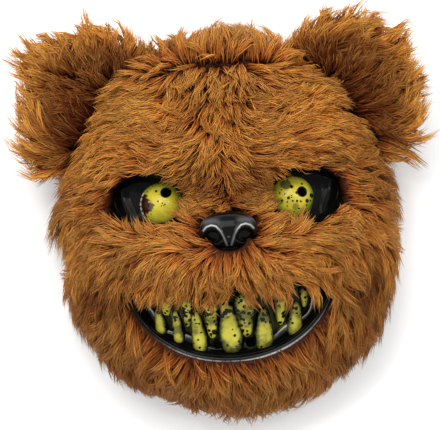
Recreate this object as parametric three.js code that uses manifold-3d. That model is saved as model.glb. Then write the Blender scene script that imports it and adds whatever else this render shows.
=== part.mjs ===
// A furry bear mask for Halloween and carnival, lying on its back with the face up.
// Sizes are in millimetres. +X is to the right for someone who faces the mask, +Y runs from chin to crown,
// and +Z comes out of the face. The rim that goes round the wearer's face lies on z = 0.
import * as THREE from "three";
import { ParametricGeometry } from "three/addons/geometries/ParametricGeometry.js";
import { mergeVertices } from "three/addons/utils/BufferGeometryUtils.js";
import Module from "manifold-3d";

const wasm = await Module();
wasm.setup();

// Head: the surface that the locks of the pile grow from
const headHalfWidth = 93;
const headCrown = 109;
const headChin = 105;
const faceDepth = 76;
const widestHeight = 24;
const rimTuck = 6;
// Exponents of the outline and of the dome: 2 is an ellipse, more is squarer
const crownSquareness = 2.15;
const chinSquareness = 2.3;
const domeSquareness = 2.3;

// Walls: the plush is a backing with its dense underfur, the shell one formed plastic sheet
const plushWall = 6;
const shellWall = 1.5;
const seatGap = 0.3;
const hemReveal = 1.2;

// Eyes: hollow painted domes in almond sockets
const eyeOffset = 39;
const eyeUp = 17;
const eyeRadius = 13.5;
const eyeRise = 8.5;
const pupilRadius = 2.8;
const socketDepth = 5;
const socketHalfWidth = 25;
const socketHalfHeight = 17;
const socketOut = 6;
const socketTilt = 0.16;

// Nose: a hollow cap with two nostrils
const noseUp = 0;
const noseHalfWidth = 17;
const noseHalfHeight = 10.5;
const noseRise = 13;
const nostrilRadius = 5;

// Mouth: a half-moon recess with teeth from above and below and a bead for a lip
const mouthShift = -1;
const mouthUp = -33;
const mouthHalfWidth = 59;
const mouthDrop = 42;
const mouthDepth = 8;
const mouthSag = 4;
const gumBand = 9;
const gumRise = 3.5;
const toothRise = 7.5;
const breathHoleRadius = 2.9;
const breathHoleOffset = 9.8;
const lipRadius = 2.2;

// Ears: round cupped leaves on the sides of the head
const earRadius = 40;
const earAcross = 75;
const earUp = 78;
const earHeight = 33;
const earCup = 12;
const earWall = 8;
const earTilt = 0.2;
const earLockLength = 17;

// Pile: tapered locks fused to the plush
const lockSpacing = 22;
const lockLength = 27;
const lockWidth = 17;
const lockThickness = 5;
const lockRise = 8;
const lockSink = 2.6;
const lockClearance = 7;

// Facets: frontShare is the share of the rings that lies in front of the head's widest section
const headRings = 8;
const headSectors = 26;
const frontShare = 0.8;
const roundFacets = 14;
const outlineFacets = 6;

// Longer than anything here, for cuts that go right through
const tall = 400;

const { Vector3 } = THREE;

// Bumps and hollows of the face: smooth hills at x, y, and those off the middle are made on both sides.
// rise is a share of the face's depth
const relief = [
  { part: "muzzle", x: 0, y: -0.15 * headChin, wide: 0.47 * headHalfWidth, high: 0.24 * headChin, rise: 0.3 },
  { part: "chin", x: 0, y: -0.78 * headChin, wide: 0.47 * headHalfWidth, high: 0.16 * headChin, rise: 0.1 },
  { part: "bridge", x: 0, y: 0.5 * eyeUp, wide: 0.4 * eyeOffset, high: 0.22 * headCrown, rise: 0.12 },
  {
    part: "brow",
    x: 0.95 * eyeOffset,
    y: eyeUp + 1.85 * eyeRadius,
    wide: 2.5 * eyeRadius,
    high: 0.9 * eyeRadius,
    rise: 0.11,
  },
  {
    part: "socket",
    x: eyeOffset + 0.5 * socketOut,
    y: eyeUp,
    wide: 1.1 * socketHalfWidth,
    high: socketHalfHeight,
    rise: -0.07,
  },
  {
    part: "cheek",
    x: 0.67 * headHalfWidth,
    y: -0.11 * headChin,
    wide: 0.25 * headHalfWidth,
    high: 0.23 * headChin,
    rise: 0.08,
  },
];

// Where each pupil sits on its eye, as shares of the eye's radius: both look up to the right
const gaze = [
  { side: -1, across: 0.27, up: 0.46 },
  { side: 1, across: 0.4, up: 0.19 },
];

// Teeth, left to right. The x of root and tip and the width are shares of the mouth's half width,
// and how far down root and tip lie are shares of its drop
const lowerTeeth = [
  { rootX: -0.68, rootDown: 0.62, tipX: -0.73, tipDown: 0.3, width: 0.14 },
  { rootX: -0.51, rootDown: 0.76, tipX: -0.56, tipDown: 0.35, width: 0.12 },
  { rootX: -0.29, rootDown: 0.9, tipX: -0.34, tipDown: 0.38, width: 0.15 },
  { rootX: 0.01, rootDown: 0.96, tipX: -0.02, tipDown: 0.3, width: 0.2 },
  { rootX: 0.31, rootDown: 0.92, tipX: 0.35, tipDown: 0.4, width: 0.17 },
  { rootX: 0.6, rootDown: 0.78, tipX: 0.66, tipDown: 0.34, width: 0.16 },
];
const upperTeeth = [
  { rootX: -0.62, rootDown: 0.05, tipX: -0.64, tipDown: 0.36, width: 0.12 },
  { rootX: -0.42, rootDown: 0.06, tipX: -0.44, tipDown: 0.52, width: 0.11 },
  { rootX: -0.2, rootDown: 0.08, tipX: -0.18, tipDown: 0.7, width: 0.14 },
  { rootX: 0.13, rootDown: 0.08, tipX: 0.165, tipDown: 0.7, width: 0.18 },
  { rootX: 0.47, rootDown: 0.06, tipX: 0.5, tipDown: 0.6, width: 0.12 },
  { rootX: 0.72, rootDown: 0.05, tipX: 0.73, tipDown: 0.36, width: 0.1 },
];

// Rows of locks that hang over the mouth and the eyes. x is a share of the mouth's half width or of the eye's
// offset, rise is how far the row lies over the opening's middle line, and it and reach are shares of a lock
const fringes = [
  { over: "mouth", fromX: -0.85, toX: 0.85, fromRise: 0.3, toRise: 0.3, reach: 0.6, locks: 8 },
  { over: "eyes", fromX: -1.9, toX: -0.5, fromRise: 0.85, toRise: 0.63, reach: 0.7, locks: 4 },
  { over: "eyes", fromX: 0.5, toX: 1.9, fromRise: 0.63, toRise: 0.85, reach: 0.7, locks: 4 },
];

// Rows of locks on an ear: share is the row's distance from the middle as a share of the ear's radius, face
// the side of the leaf (0 is the edge), lean the way out or in, and from and to are shares of a turn
const earRows = [
  { share: 0.93, face: 0, lean: 1, from: -0.35, to: 0.35, locks: 11 },
  { share: 0.86, face: 1, lean: 1, from: -0.3, to: 0.3, locks: 7 },
  { share: 0.82, face: 1, lean: -0.8, from: -0.25, to: 0.25, locks: 6 },
  { share: 0.8, face: -1, lean: 1, from: -0.28, to: 0.28, locks: 5 },
];

// Steady noise from 0 to 1 for a whole number
function noise(seed) {
  const wave = Math.sin(seed * 127.1 + 11.7) * 43758.5453;
  return wave - Math.floor(wave);
}

function smoothStep(low, high, value) {
  const share = Math.min(1, Math.max(0, (value - low) / (high - low)));
  return share * share * (3 - 2 * share);
}

// Distance from the middle of the head to its outline, seen from the front
function outlineRadius(angle) {
  const upper = Math.sin(angle) >= 0;
  const power = upper ? crownSquareness : chinSquareness;
  const across = Math.abs(Math.cos(angle)) / headHalfWidth;
  const along = Math.abs(Math.sin(angle)) / (upper ? headCrown : headChin);
  return (across ** power + along ** power) ** (-1 / power);
}

function reliefAt(x, y) {
  let rise = 0;
  for (const hill of relief) {
    for (const side of hill.x === 0 ? [1] : [-1, 1]) {
      const across = (x - side * hill.x) / hill.wide;
      const along = (y - hill.y) / hill.high;
      rise += hill.rise * faceDepth * Math.exp(-across * across - along * along);
    }
  }
  return rise;
}

// Height of the face over the rim at x, y
function faceHeight(x, y) {
  const share = Math.min(1, Math.hypot(x, y) / outlineRadius(Math.atan2(y, x)));
  const dome = (1 - share ** domeSquareness) ** (1 / domeSquareness);
  const fade = 1 - smoothStep(0.75, 1, share);
  return widestHeight + (faceDepth - widestHeight) * dome + reliefAt(x, y) * fade;
}

// A point of the head: along is 0 in mid-face, frontShare at the widest section and 1 at the rim
function headPoint(along, angle) {
  const reach = outlineRadius(angle);
  if (along <= frontShare) {
    const share = Math.sin(((along / frontShare) * Math.PI) / 2) ** (2 / domeSquareness);
    const x = reach * share * Math.cos(angle);
    const y = reach * share * Math.sin(angle);
    return new Vector3(x, y, faceHeight(x, y));
  }
  const down = (along - frontShare) / (1 - frontShare);
  const radius = reach - rimTuck * down * down;
  return new Vector3(radius * Math.cos(angle), radius * Math.sin(angle), widestHeight * (1 - down));
}

function headNormal(along, angle) {
  const step = 0.004;
  const at = Math.min(1 - step, Math.max(step, along));
  const outward = headPoint(at + step, angle).sub(headPoint(at - step, angle));
  const round = headPoint(at, angle + step).sub(headPoint(at, angle - step));
  return outward.cross(round).normalize();
}

// A place on the face at x, y, moved out along its normal
function onFace(x, y, offset) {
  const step = 0.5;
  const slopeX = (faceHeight(x + step, y) - faceHeight(x - step, y)) / (2 * step);
  const slopeY = (faceHeight(x, y + step) - faceHeight(x, y - step)) / (2 * step);
  const normal = new Vector3(-slopeX, -slopeY, 1).normalize();
  const point = new Vector3(x, y, faceHeight(x, y)).addScaledVector(normal, offset);
  return { point, normal };
}

// The place depth below the face that lies right under x, y
function underFace(x, y, depth) {
  const above = new THREE.Vector2(x, y);
  let found = onFace(x, y, -depth);
  for (let pass = 0; pass < 4; pass += 1) {
    above.add(new THREE.Vector2(x - found.point.x, y - found.point.y));
    found = onFace(above.x, above.y, -depth);
  }
  return found;
}

// The turn and place of a piece whose Y runs along an axis and whose Z leans to a normal
function frameAlong(place, axis, normal) {
  const along = axis.clone().normalize();
  const across = new Vector3().crossVectors(along, normal).normalize();
  const outward = new Vector3().crossVectors(across, along);
  return new THREE.Matrix4().makeBasis(across, along, outward).setPosition(place);
}

// A closed geometry as a solid
function solid(geometry) {
  const bare = geometry.index ? geometry.toNonIndexed() : geometry.clone();
  bare.deleteAttribute("normal");
  bare.deleteAttribute("uv");
  const merged = mergeVertices(bare, 1e-4);
  const position = merged.getAttribute("position").array;
  const corners = [];
  for (let i = 0; i < merged.index.count; i += 3) {
    const [a, b, c] = [merged.index.getX(i), merged.index.getX(i + 1), merged.index.getX(i + 2)];
    if (a !== b && b !== c && c !== a) corners.push(a, b, c);
  }
  return new wasm.Manifold(
    new wasm.Mesh({
      numProp: 3,
      vertProperties: new Float32Array(position),
      triVerts: new Uint32Array(corners),
    }),
  );
}

// A solid as a geometry that a mesh can show
function geometryOf(body) {
  const made = body.getMesh();
  const geometry = new THREE.BufferGeometry();
  geometry.setAttribute("position", new THREE.BufferAttribute(new Float32Array(made.vertProperties), 3));
  geometry.setIndex(new THREE.BufferAttribute(new Uint32Array(made.triVerts), 1));
  geometry.computeVertexNormals();
  return geometry;
}

const join = (bodies) => wasm.Manifold.union(bodies);

// The largest of the separate bodies, which drops offcuts such as the tips of locks
function largest(body) {
  return body.decompose().reduce((best, next) => (next.volume() > best.volume() ? next : best));
}

// Everything under the head's surface moved out by offset, down to z = bottom
function headSolid(offset, bottom) {
  const shape = (round, down, target) => {
    const ring = Math.round(down * (headRings + 1));
    const along = ring / headRings;
    const angle = -round * Math.PI * 2;
    if (ring > headRings) target.set(0, 0, bottom);
    else if (ring === 0) target.set(0, 0, faceHeight(0, 0) + offset);
    else target.copy(headPoint(along, angle)).addScaledVector(headNormal(along, angle), offset);
    if (ring === headRings) target.z = bottom;
  };
  return solid(new ParametricGeometry(shape, headSectors, headRings + 1));
}

// An outline pushed straight through the face
function prism(shape, bottom = -tall / 2, height = tall) {
  const settings = { depth: height, bevelEnabled: false, curveSegments: outlineFacets };
  return solid(new THREE.ExtrudeGeometry(shape, settings).translate(0, 0, bottom));
}

function ellipse(x, y, halfWidth, halfHeight, tilt = 0) {
  return new THREE.Shape().absellipse(x, y, halfWidth, halfHeight, 0, Math.PI * 2, false, tilt);
}

// The mouth's half-moon with its corners up, moved out by grow
function mouthShape(grow) {
  const half = mouthHalfWidth + grow;
  const top = mouthUp + grow;
  const [leftX, rightX] = [mouthShift - half / 2, mouthShift + half / 2];
  return new THREE.Shape()
    .moveTo(mouthShift + half, top)
    .bezierCurveTo(rightX, top - mouthSag, leftX, top - mouthSag, mouthShift - half, top)
    .absellipse(mouthShift, top, half, mouthDrop + 2 * grow, Math.PI, Math.PI * 2, false, 0);
}

// A lock of pile: a flat three-sided cone that leans up from its root along the flow
function lock(root, normal, flow, length) {
  const cone = new THREE.ConeGeometry(1, 1, 3, 1, false, Math.PI).translate(0, 0.5, 0);
  const reach = flow.clone().multiplyScalar(length).addScaledVector(normal, lockSink + lockRise);
  const foot = root.clone().addScaledVector(normal, -lockSink);
  cone.scale(lockWidth / 2, reach.length(), lockThickness / 2);
  return solid(cone.applyMatrix4(frameAlong(foot, reach, normal)));
}

// The way the pile is brushed: away from the bridge of the nose and down, but up and back over the crown
function combed(point, normal) {
  const away = new Vector3(point.x, point.y - eyeUp, 0).normalize();
  const overCrown = smoothStep(0.7 * headCrown, 0.9 * headCrown, point.y);
  const hang = new Vector3(0, 2 * overCrown - 1, 0);
  const flow = away.add(hang).add(new Vector3(0, 0, -0.3));
  return flow.addScaledVector(normal, -flow.dot(normal)).normalize();
}

// Named points of the seams, seen from the front
const eyeCentre = [eyeOffset + socketOut, eyeUp];
const mouthCorner = [mouthHalfWidth, mouthUp];
const earFoot = [1.25 * headHalfWidth, 0.12 * headCrown];
const jaw = [1.35 * headHalfWidth, -0.5 * headChin];
const crownSeam = [
  [-0.9 * headHalfWidth, 0.5 * headCrown],
  [-0.55 * headHalfWidth, 0.8 * headCrown],
  [-0.2 * headHalfWidth, 0.9 * headCrown],
  [0.2 * headHalfWidth, 0.9 * headCrown],
  [0.55 * headHalfWidth, 0.8 * headCrown],
  [0.9 * headHalfWidth, 0.5 * headCrown],
];
const left = ([x, y]) => [-x, y];
const mouthLeft = [mouthShift - mouthCorner[0], mouthCorner[1]];
const mouthRight = [mouthShift + mouthCorner[0], mouthCorner[1]];
const lipMiddle = [mouthShift, mouthUp - 0.5 * mouthDrop];
const far = 2 * headCrown;
const sideHigh = [far, earFoot[1]];
const sideLow = [far, jaw[1]];
const below = [far, -far];

// Outlines of the panels, and the seams between them
const panels = {
  fur_crown: [left(earFoot), ...crownSeam, earFoot, [far, far], [-far, far]],
  fur_forehead: [left(earFoot), left(eyeCentre), eyeCentre, earFoot, ...[...crownSeam].reverse()],
  fur_cheek_left: [left(eyeCentre), left(earFoot), left(sideHigh), left(sideLow), left(jaw), mouthLeft],
  fur_cheek_right: [mouthRight, jaw, sideLow, sideHigh, earFoot, eyeCentre],
  fur_muzzle: [left(eyeCentre), mouthLeft, lipMiddle, mouthRight, eyeCentre],
  fur_chin: [mouthLeft, left(jaw), left(sideLow), left(below), below, sideLow, jaw, mouthRight, lipMiddle],
};
const seams = [
  [left(earFoot), ...crownSeam, earFoot],
  [left(earFoot), left(eyeCentre), eyeCentre, earFoot],
  [left(eyeCentre), mouthLeft, left(jaw)],
  [eyeCentre, mouthRight, jaw],
  [left(earFoot), left(sideHigh)],
  [earFoot, sideHigh],
  [left(jaw), left(sideLow)],
  [jaw, sideLow],
];

const shapeOf = (points) => new THREE.Shape(points.map(([x, y]) => new THREE.Vector2(x, y)));

// Whether x, y lies inside an outline
function within(points, x, y) {
  let odd = false;
  for (let i = 0, j = points.length - 1; i < points.length; j = i, i += 1) {
    const [ax, ay] = points[i];
    const [bx, by] = points[j];
    if (ay > y !== by > y && x < ((bx - ax) * (y - ay)) / (by - ay) + ax) odd = !odd;
  }
  return odd;
}

// Thin upright plates along the seams, which leave a gap between two panels
function seamBlades() {
  const blades = [];
  for (const seam of seams) {
    for (let i = 1; i < seam.length; i += 1) {
      const [ax, ay] = seam[i - 1];
      const [bx, by] = seam[i];
      const blade = new THREE.BoxGeometry(Math.hypot(bx - ax, by - ay) + seatGap, seatGap, tall);
      blade.rotateZ(Math.atan2(by - ay, bx - ax)).translate((ax + bx) / 2, (ay + by) / 2, 0);
      blades.push(solid(blade));
    }
  }
  return join(blades);
}

// Openings of the plush for an eye, the nose and the mouth
const eyeOpening = (side, grow) =>
  ellipse(
    side * (eyeOffset + socketOut),
    eyeUp,
    socketHalfWidth + shellWall + grow,
    socketHalfHeight + shellWall + grow,
    side * socketTilt,
  );
const noseOpening = (grow) =>
  ellipse(0, noseUp, noseHalfWidth + 2 * seatGap + grow, noseHalfHeight + 2 * seatGap + grow);
const mouthOpening = (grow) => mouthShape(2 * lipRadius + 3 * seatGap + grow);
const openings = (grow) => [eyeOpening(-1, grow), eyeOpening(1, grow), noseOpening(grow), mouthOpening(grow)];

// Middle, half width and height of what a fringe hangs over
const fringed = {
  mouth: [mouthShift, mouthHalfWidth, mouthUp],
  eyes: [0, eyeOffset, eyeUp],
};

// Roots of the locks in staggered rows from the rim to the middle of the face, and then of the fringes
function lockRoots() {
  const bare = openings(lockClearance).map((shape) => shape.getPoints(outlineFacets).map((p) => [p.x, p.y]));
  const meridian = widestHeight + (Math.PI / 4) * (headHalfWidth + faceDepth);
  const rows = Math.round(meridian / lockSpacing);
  const lowest = 1 - (0.4 * lockSpacing) / meridian;
  const roots = [];
  for (let row = 0; row < rows; row += 1) {
    const along = (lowest * (rows - row)) / rows;
    const ring = (headPoint(along, 0).x + headPoint(along, Math.PI / 2).y) / 2;
    const count = Math.max(3, Math.round((2 * Math.PI * ring) / lockSpacing));
    for (let i = 0; i < count; i += 1) {
      const seed = row * 100 + i;
      const angle = ((i + (row % 2) * 0.5 + 0.3 * (noise(seed) - 0.5)) / count) * Math.PI * 2;
      const point = headPoint(along, angle);
      if (bare.some((points) => within(points, point.x, point.y))) continue;
      roots.push({ point, normal: headNormal(along, angle), seed, reach: 1 });
    }
  }
  fringes.forEach(({ over, fromX, toX, fromRise, toRise, reach, locks }, row) => {
    const [middle, width, up] = fringed[over];
    for (let i = 0; i < locks; i += 1) {
      const share = (i + 0.5) / locks;
      const x = middle + width * (fromX + (toX - fromX) * share);
      const y = up + lockLength * (fromRise + (toRise - fromRise) * share);
      roots.push({ ...onFace(x, y, 0), seed: 5000 + 100 * row + i, reach });
    }
  });
  return roots;
}

// An ear's cupped leaf in its own frame, with the cup open to +Z, larger and thicker by the two amounts
function earLeaf(wider, thicker) {
  const radius = earRadius + wider;
  const half = earWall / 2 + thicker;
  const steps = 6;
  const points = [];
  for (let i = steps; i >= 0; i -= 1) {
    const swing = (i / steps) * Math.PI;
    const r = i % steps === 0 ? 0 : radius * Math.sin(swing);
    const thick = half * Math.sign(Math.cos(swing)) * Math.sqrt(Math.abs(Math.cos(swing)));
    points.push(new THREE.Vector2(r, thick - earCup * (1 - (r / radius) ** 2)));
  }
  return solid(new THREE.LatheGeometry(points, roundFacets).rotateX(Math.PI / 2));
}

// The place of an ear: its X points away from the head
function earFrame(side) {
  const outward = Math.atan2(earUp, side * earAcross);
  return new THREE.Matrix4()
    .makeTranslation(side * earAcross, earUp, earHeight)
    .multiply(new THREE.Matrix4().makeRotationZ(outward))
    .multiply(new THREE.Matrix4().makeRotationY(-earTilt));
}

// Locks round the ear's edge and in its cup, in the ear's own frame
function earLocks() {
  const locks = [];
  earRows.forEach((row, number) => {
    for (let i = 0; i < row.locks; i += 1) {
      const turn = row.from + ((row.to - row.from) * (i + 0.5)) / row.locks;
      const angle = turn * Math.PI * 2 + 0.12 * (noise(number * 40 + i) - 0.5);
      const radial = new Vector3(Math.cos(angle), Math.sin(angle), 0);
      const surface = row.face * (earWall / 2) - earCup * (1 - row.share ** 2);
      const root = radial.clone().multiplyScalar(earRadius * row.share).setZ(surface);
      const upright = new Vector3(0, 0, row.face || 1);
      const normal = upright.addScaledVector(radial, row.face === 0 ? 0.2 : 0.45).normalize();
      const flow = radial.clone().multiplyScalar(row.lean);
      flow.addScaledVector(normal, -flow.dot(normal)).normalize();
      locks.push(lock(root, normal, flow, earLockLength));
    }
  });
  return locks;
}

// An ear with its locks, cut off where it meets the head
function ear(side) {
  const whole = join([earLeaf(0, 0), ...earLocks()]).transform(earFrame(side).elements);
  return largest(whole.subtract(headSolid(seatGap, -tall)));
}

// The frame of an eye: on the face, with Z along its normal
function eyeFrame(side) {
  const { point, normal } = underFace(side * eyeOffset, eyeUp, plushWall + seatGap);
  const facing = normal.add(new Vector3(0, 0, 1)).normalize();
  const turn = new THREE.Quaternion().setFromUnitVectors(new Vector3(0, 0, 1), facing);
  return new THREE.Matrix4().makeRotationFromQuaternion(turn).setPosition(point);
}

// The almond pocket of an eye, moved out by grow
function socket(side, grow) {
  const [half, high] = [socketHalfWidth + grow, socketHalfHeight + grow];
  const outline = ellipse(side * socketOut, 0, half, high, side * socketTilt);
  return prism(outline, -socketDepth - grow, faceDepth).transform(eyeFrame(side).elements);
}

// A cap of a sphere with its foot on z = 0
function cap(radius, rise) {
  const ball = (radius * radius + rise * rise) / (2 * rise);
  const sphere = new THREE.SphereGeometry(ball, roundFacets, roundFacets / 2).rotateX(Math.PI / 2);
  const below = new THREE.BoxGeometry(4 * ball, 4 * ball, 4 * ball).translate(0, 0, -2 * ball);
  return solid(sphere.translate(0, 0, rise - ball)).subtract(solid(below));
}

// A round hole along Z at x, y
function hole(x, y, radius) {
  return solid(new THREE.CylinderGeometry(radius, radius, tall, 10).rotateX(Math.PI / 2).translate(x, y, 0));
}

// A hollow dome with its pupil, on the floor of its socket
function eye({ side, across, up }) {
  const dome = cap(eyeRadius, eyeRise)
    .subtract(cap(eyeRadius - shellWall, eyeRise - shellWall))
    .subtract(hole(across * eyeRadius, up * eyeRadius, pupilRadius));
  return dome.translate([0, 0, seatGap - socketDepth]).transform(eyeFrame(side).elements);
}

// What the mouth's recess takes out of a sheet: all over the lowered face inside its outline
function mouthRecess(grow) {
  return prism(mouthShape(grow)).subtract(headSolid(-(plushWall + seatGap + mouthDepth + grow), -tall));
}

// The formed sheet: the lowered head with its pockets, less the same moved in by its wall
function faceShell() {
  const top = plushWall + seatGap;
  const outside = headSolid(-top, 0);
  const hollow = headSolid(-top - shellWall, -shellWall);
  const pockets = join([socket(-1, 0), socket(1, 0), mouthRecess(0)]);
  const backs = join([socket(-1, shellWall), socket(1, shellWall), mouthRecess(shellWall)]);
  const sight = (side) => hole(0, 0, eyeRadius - 2 * shellWall).transform(eyeFrame(side).elements);
  const holes = join([sight(-1), sight(1), ...breathHoles(breathHoleRadius)]);
  return largest(outside.subtract(pockets).subtract(hollow.subtract(backs)).subtract(holes));
}

// The two holes beside the middle tooth, just inside the gum
function breathHoles(radius) {
  const y = mouthUp - mouthDrop + gumBand / 2 + breathHoleRadius;
  return [-1, 1].map((side) => hole(side * breathHoleOffset, y, radius));
}

// One fang, flat and rounded, widest at its root in the gum
function fang(tooth) {
  const depth = plushWall + seatGap + mouthDepth;
  const ends = [
    [tooth.rootX, tooth.rootDown],
    [tooth.tipX, tooth.tipDown],
  ];
  const [root, tip] = ends.map(([across, down]) =>
    underFace(mouthShift + across * mouthHalfWidth, mouthUp - down * mouthDrop, depth),
  );
  const axis = tip.point.clone().sub(root.point);
  const width = tooth.width * mouthHalfWidth;
  const geometry = new THREE.SphereGeometry(1, 6, 4);
  const position = geometry.getAttribute("position");
  for (let i = 0; i < position.count; i += 1) {
    const taper = 1 - 0.35 * position.getY(i);
    position.setX(i, (position.getX(i) * taper * width) / 2);
  }
  geometry.scale(1, axis.length() / 2, toothRise);
  const middle = root.point.clone().lerp(tip.point, 0.5);
  return solid(geometry.applyMatrix4(frameAlong(middle, axis, root.normal)));
}

// All above y
function above(y) {
  return solid(new THREE.BoxGeometry(tall, tall, tall).translate(0, y + tall / 2, 0));
}

// The gums: a band along the mouth's lower edge, and one straight across under its upper edge
function lowerGum() {
  const band = prism(mouthShape(0)).subtract(prism(mouthShape(-gumBand)));
  return band.subtract(above(mouthUp - mouthDrop / 2));
}
const upperGum = () => above(mouthUp - gumBand / 2);

// A row of fangs on its gum, cut to the recess with a gap to the sheet
function teethRow(row, gum) {
  const floor = plushWall + seatGap + mouthDepth;
  const room = prism(mouthShape(-seatGap)).subtract(headSolid(seatGap - floor, -tall));
  const ridge = gum.intersect(headSolid(gumRise - floor, -tall));
  const holes = join(breathHoles(breathHoleRadius + seatGap));
  return largest(join([ridge, ...row.map(fang)]).intersect(room).subtract(holes));
}

// The bead along the lower edge of the mouth
function lip() {
  const grow = lipRadius + 2 * seatGap;
  const turns = 14;
  const points = [];
  for (let i = 0; i <= turns; i += 1) {
    const angle = Math.PI * (1.04 + (0.92 * i) / turns);
    const x = mouthShift + (mouthHalfWidth + grow) * Math.cos(angle);
    const y = mouthUp + grow + (mouthDrop + 2 * grow) * Math.sin(angle);
    points.push(onFace(x, y, grow - plushWall).point);
  }
  const section = new THREE.Shape().absarc(0, 0, lipRadius, 0, Math.PI * 2, false);
  const path = new THREE.CatmullRomCurve3(points);
  return solid(new THREE.ExtrudeGeometry(section, { steps: 16, curveSegments: 3, extrudePath: path }));
}

// A hollow cap that sits on the sheet
function nose() {
  return noseBody(0).subtract(noseBody(-shellWall)).subtract(headSolid(-plushWall, -tall));
}

// The nose's rounded block with its two nostrils, moved out by grow
function noseBody(grow) {
  const seat = onFace(0, noseUp, -plushWall).point;
  const geometry = new THREE.SphereGeometry(1, 12, 6).rotateX(Math.PI / 2);
  const position = geometry.getAttribute("position");
  for (let i = 0; i < position.count; i += 1) {
    const down = -position.getY(i);
    position.setX(i, position.getX(i) * (1 - 0.22 * down) * (noseHalfWidth + grow));
    position.setY(i, position.getY(i) * (noseHalfHeight + grow));
    position.setZ(i, position.getZ(i) * (noseRise + grow));
  }
  const block = solid(geometry.translate(0, noseUp, seat.z));
  const nostrils = [-1, 1].map((side) =>
    solid(
      new THREE.SphereGeometry(nostrilRadius - grow, 7, 5).translate(
        side * 0.48 * noseHalfWidth,
        noseUp - 0.5 * noseHalfHeight,
        seat.z + noseRise,
      ),
    ),
  );
  return block.subtract(join(nostrils));
}

// The ear's envelope outside the head, locks and all
function earRoom(side) {
  const envelope = earLeaf(1.5 * earLockLength, lockRise).transform(earFrame(side).elements);
  return envelope.subtract(headSolid(seatGap / 2, -tall));
}

// The panels of plush with their locks, by name
function furPanels() {
  const wall = headSolid(0, hemReveal).subtract(join(openings(0).map((shape) => prism(shape))));
  const floor = solid(new THREE.BoxGeometry(tall, tall, tall).translate(0, 0, hemReveal - tall / 2));
  const inside = headSolid(-plushWall, -hemReveal);
  const cuts = join([seamBlades(), inside, floor, earRoom(-1), earRoom(1), prism(noseOpening(0))]);
  const roots = lockRoots();
  const made = {};
  for (const [name, points] of Object.entries(panels)) {
    const locks = roots
      .filter(({ point }) => within(points, point.x, point.y))
      .map(({ point, normal, seed, reach }) => {
        const length = lockLength * reach * (0.85 + 0.3 * noise(seed + 7));
        return lock(point, normal, combed(point, normal), length);
      });
    made[name] = largest(join([wall, ...locks]).intersect(prism(shapeOf(points))).subtract(cuts));
  }
  return made;
}

const finishes = {
  plush: new THREE.MeshStandardMaterial({ color: "#9a5a22", roughness: 0.95, metalness: 0 }),
  shell: new THREE.MeshStandardMaterial({ color: "#0c0d0c", roughness: 0.3, metalness: 0 }),
  eye: new THREE.MeshStandardMaterial({ color: "#c9c32b", roughness: 0.3, metalness: 0 }),
  tooth: new THREE.MeshStandardMaterial({ color: "#b9bd3f", roughness: 0.35, metalness: 0 }),
};

const mask = new THREE.Group();

function add(name, body, material) {
  const mesh = new THREE.Mesh(geometryOf(body), material);
  mesh.name = name;
  mask.add(mesh);
}

add("face_shell", faceShell(), finishes.shell);
add("eye_left", eye(gaze[0]), finishes.eye);
add("eye_right", eye(gaze[1]), finishes.eye);
add("nose", nose(), finishes.shell);
add("teeth_lower", teethRow(lowerTeeth, lowerGum()), finishes.tooth);
add("teeth_upper", teethRow(upperTeeth, upperGum()), finishes.tooth);
add("lip", lip(), finishes.shell);
for (const [name, body] of Object.entries(furPanels())) add(name, body, finishes.plush);
add("ear_left", ear(-1), finishes.plush);
add("ear_right", ear(1), finishes.plush);

// The origin goes to the middle of the footprint
const bounds = new THREE.Box3().setFromObject(mask);
const middle = bounds.getCenter(new Vector3());
mask.position.set(-middle.x, -middle.y, 0);

export default mask;
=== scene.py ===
"""Furry bear mask, lying face up: a formed black face with painted eyes, a glossy nose and a toothed grin,
covered with long-pile plush."""

import math

import bmesh
import bpy
import numpy as np
from mathutils import Matrix, Vector
from mathutils.bvhtree import BVHTree
from mathutils.kdtree import KDTree


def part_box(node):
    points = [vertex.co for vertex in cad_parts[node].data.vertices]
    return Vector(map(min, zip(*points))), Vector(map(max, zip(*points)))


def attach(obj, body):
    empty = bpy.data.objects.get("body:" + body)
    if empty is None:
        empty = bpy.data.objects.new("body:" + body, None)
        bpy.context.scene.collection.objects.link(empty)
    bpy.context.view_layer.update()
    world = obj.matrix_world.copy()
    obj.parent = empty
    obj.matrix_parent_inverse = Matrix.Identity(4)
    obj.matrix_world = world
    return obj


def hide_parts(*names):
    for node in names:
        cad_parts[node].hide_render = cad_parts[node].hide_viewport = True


bl_info = {
    "name": "Furry Bear Mask",
    "version": (1, 0, 0),
    "blender": (4, 5, 0),
    "location": "View3D > Sidebar > Mask",
    "description": "Builds the pieces of a plush bear mask round its packed frame",
    "category": "Mesh",
}

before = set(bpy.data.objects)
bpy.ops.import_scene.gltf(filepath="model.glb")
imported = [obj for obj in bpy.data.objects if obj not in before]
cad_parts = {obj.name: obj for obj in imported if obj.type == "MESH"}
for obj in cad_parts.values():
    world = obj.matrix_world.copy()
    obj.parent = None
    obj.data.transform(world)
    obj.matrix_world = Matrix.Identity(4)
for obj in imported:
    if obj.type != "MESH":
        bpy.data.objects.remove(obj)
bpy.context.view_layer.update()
MM = 0.001

# The head's own origin, on the axis of the nose, in the row frame
NOSE_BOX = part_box("nose")
HEAD_X = 0.5 * (NOSE_BOX[0].x + NOSE_BOX[1].x)
HEAD_Y = 0.5 * (NOSE_BOX[0].y + NOSE_BOX[1].y)

# Share of the meridian, from mid-face to rim, that lies in front of the head's widest section
FRONT = 0.8

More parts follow.
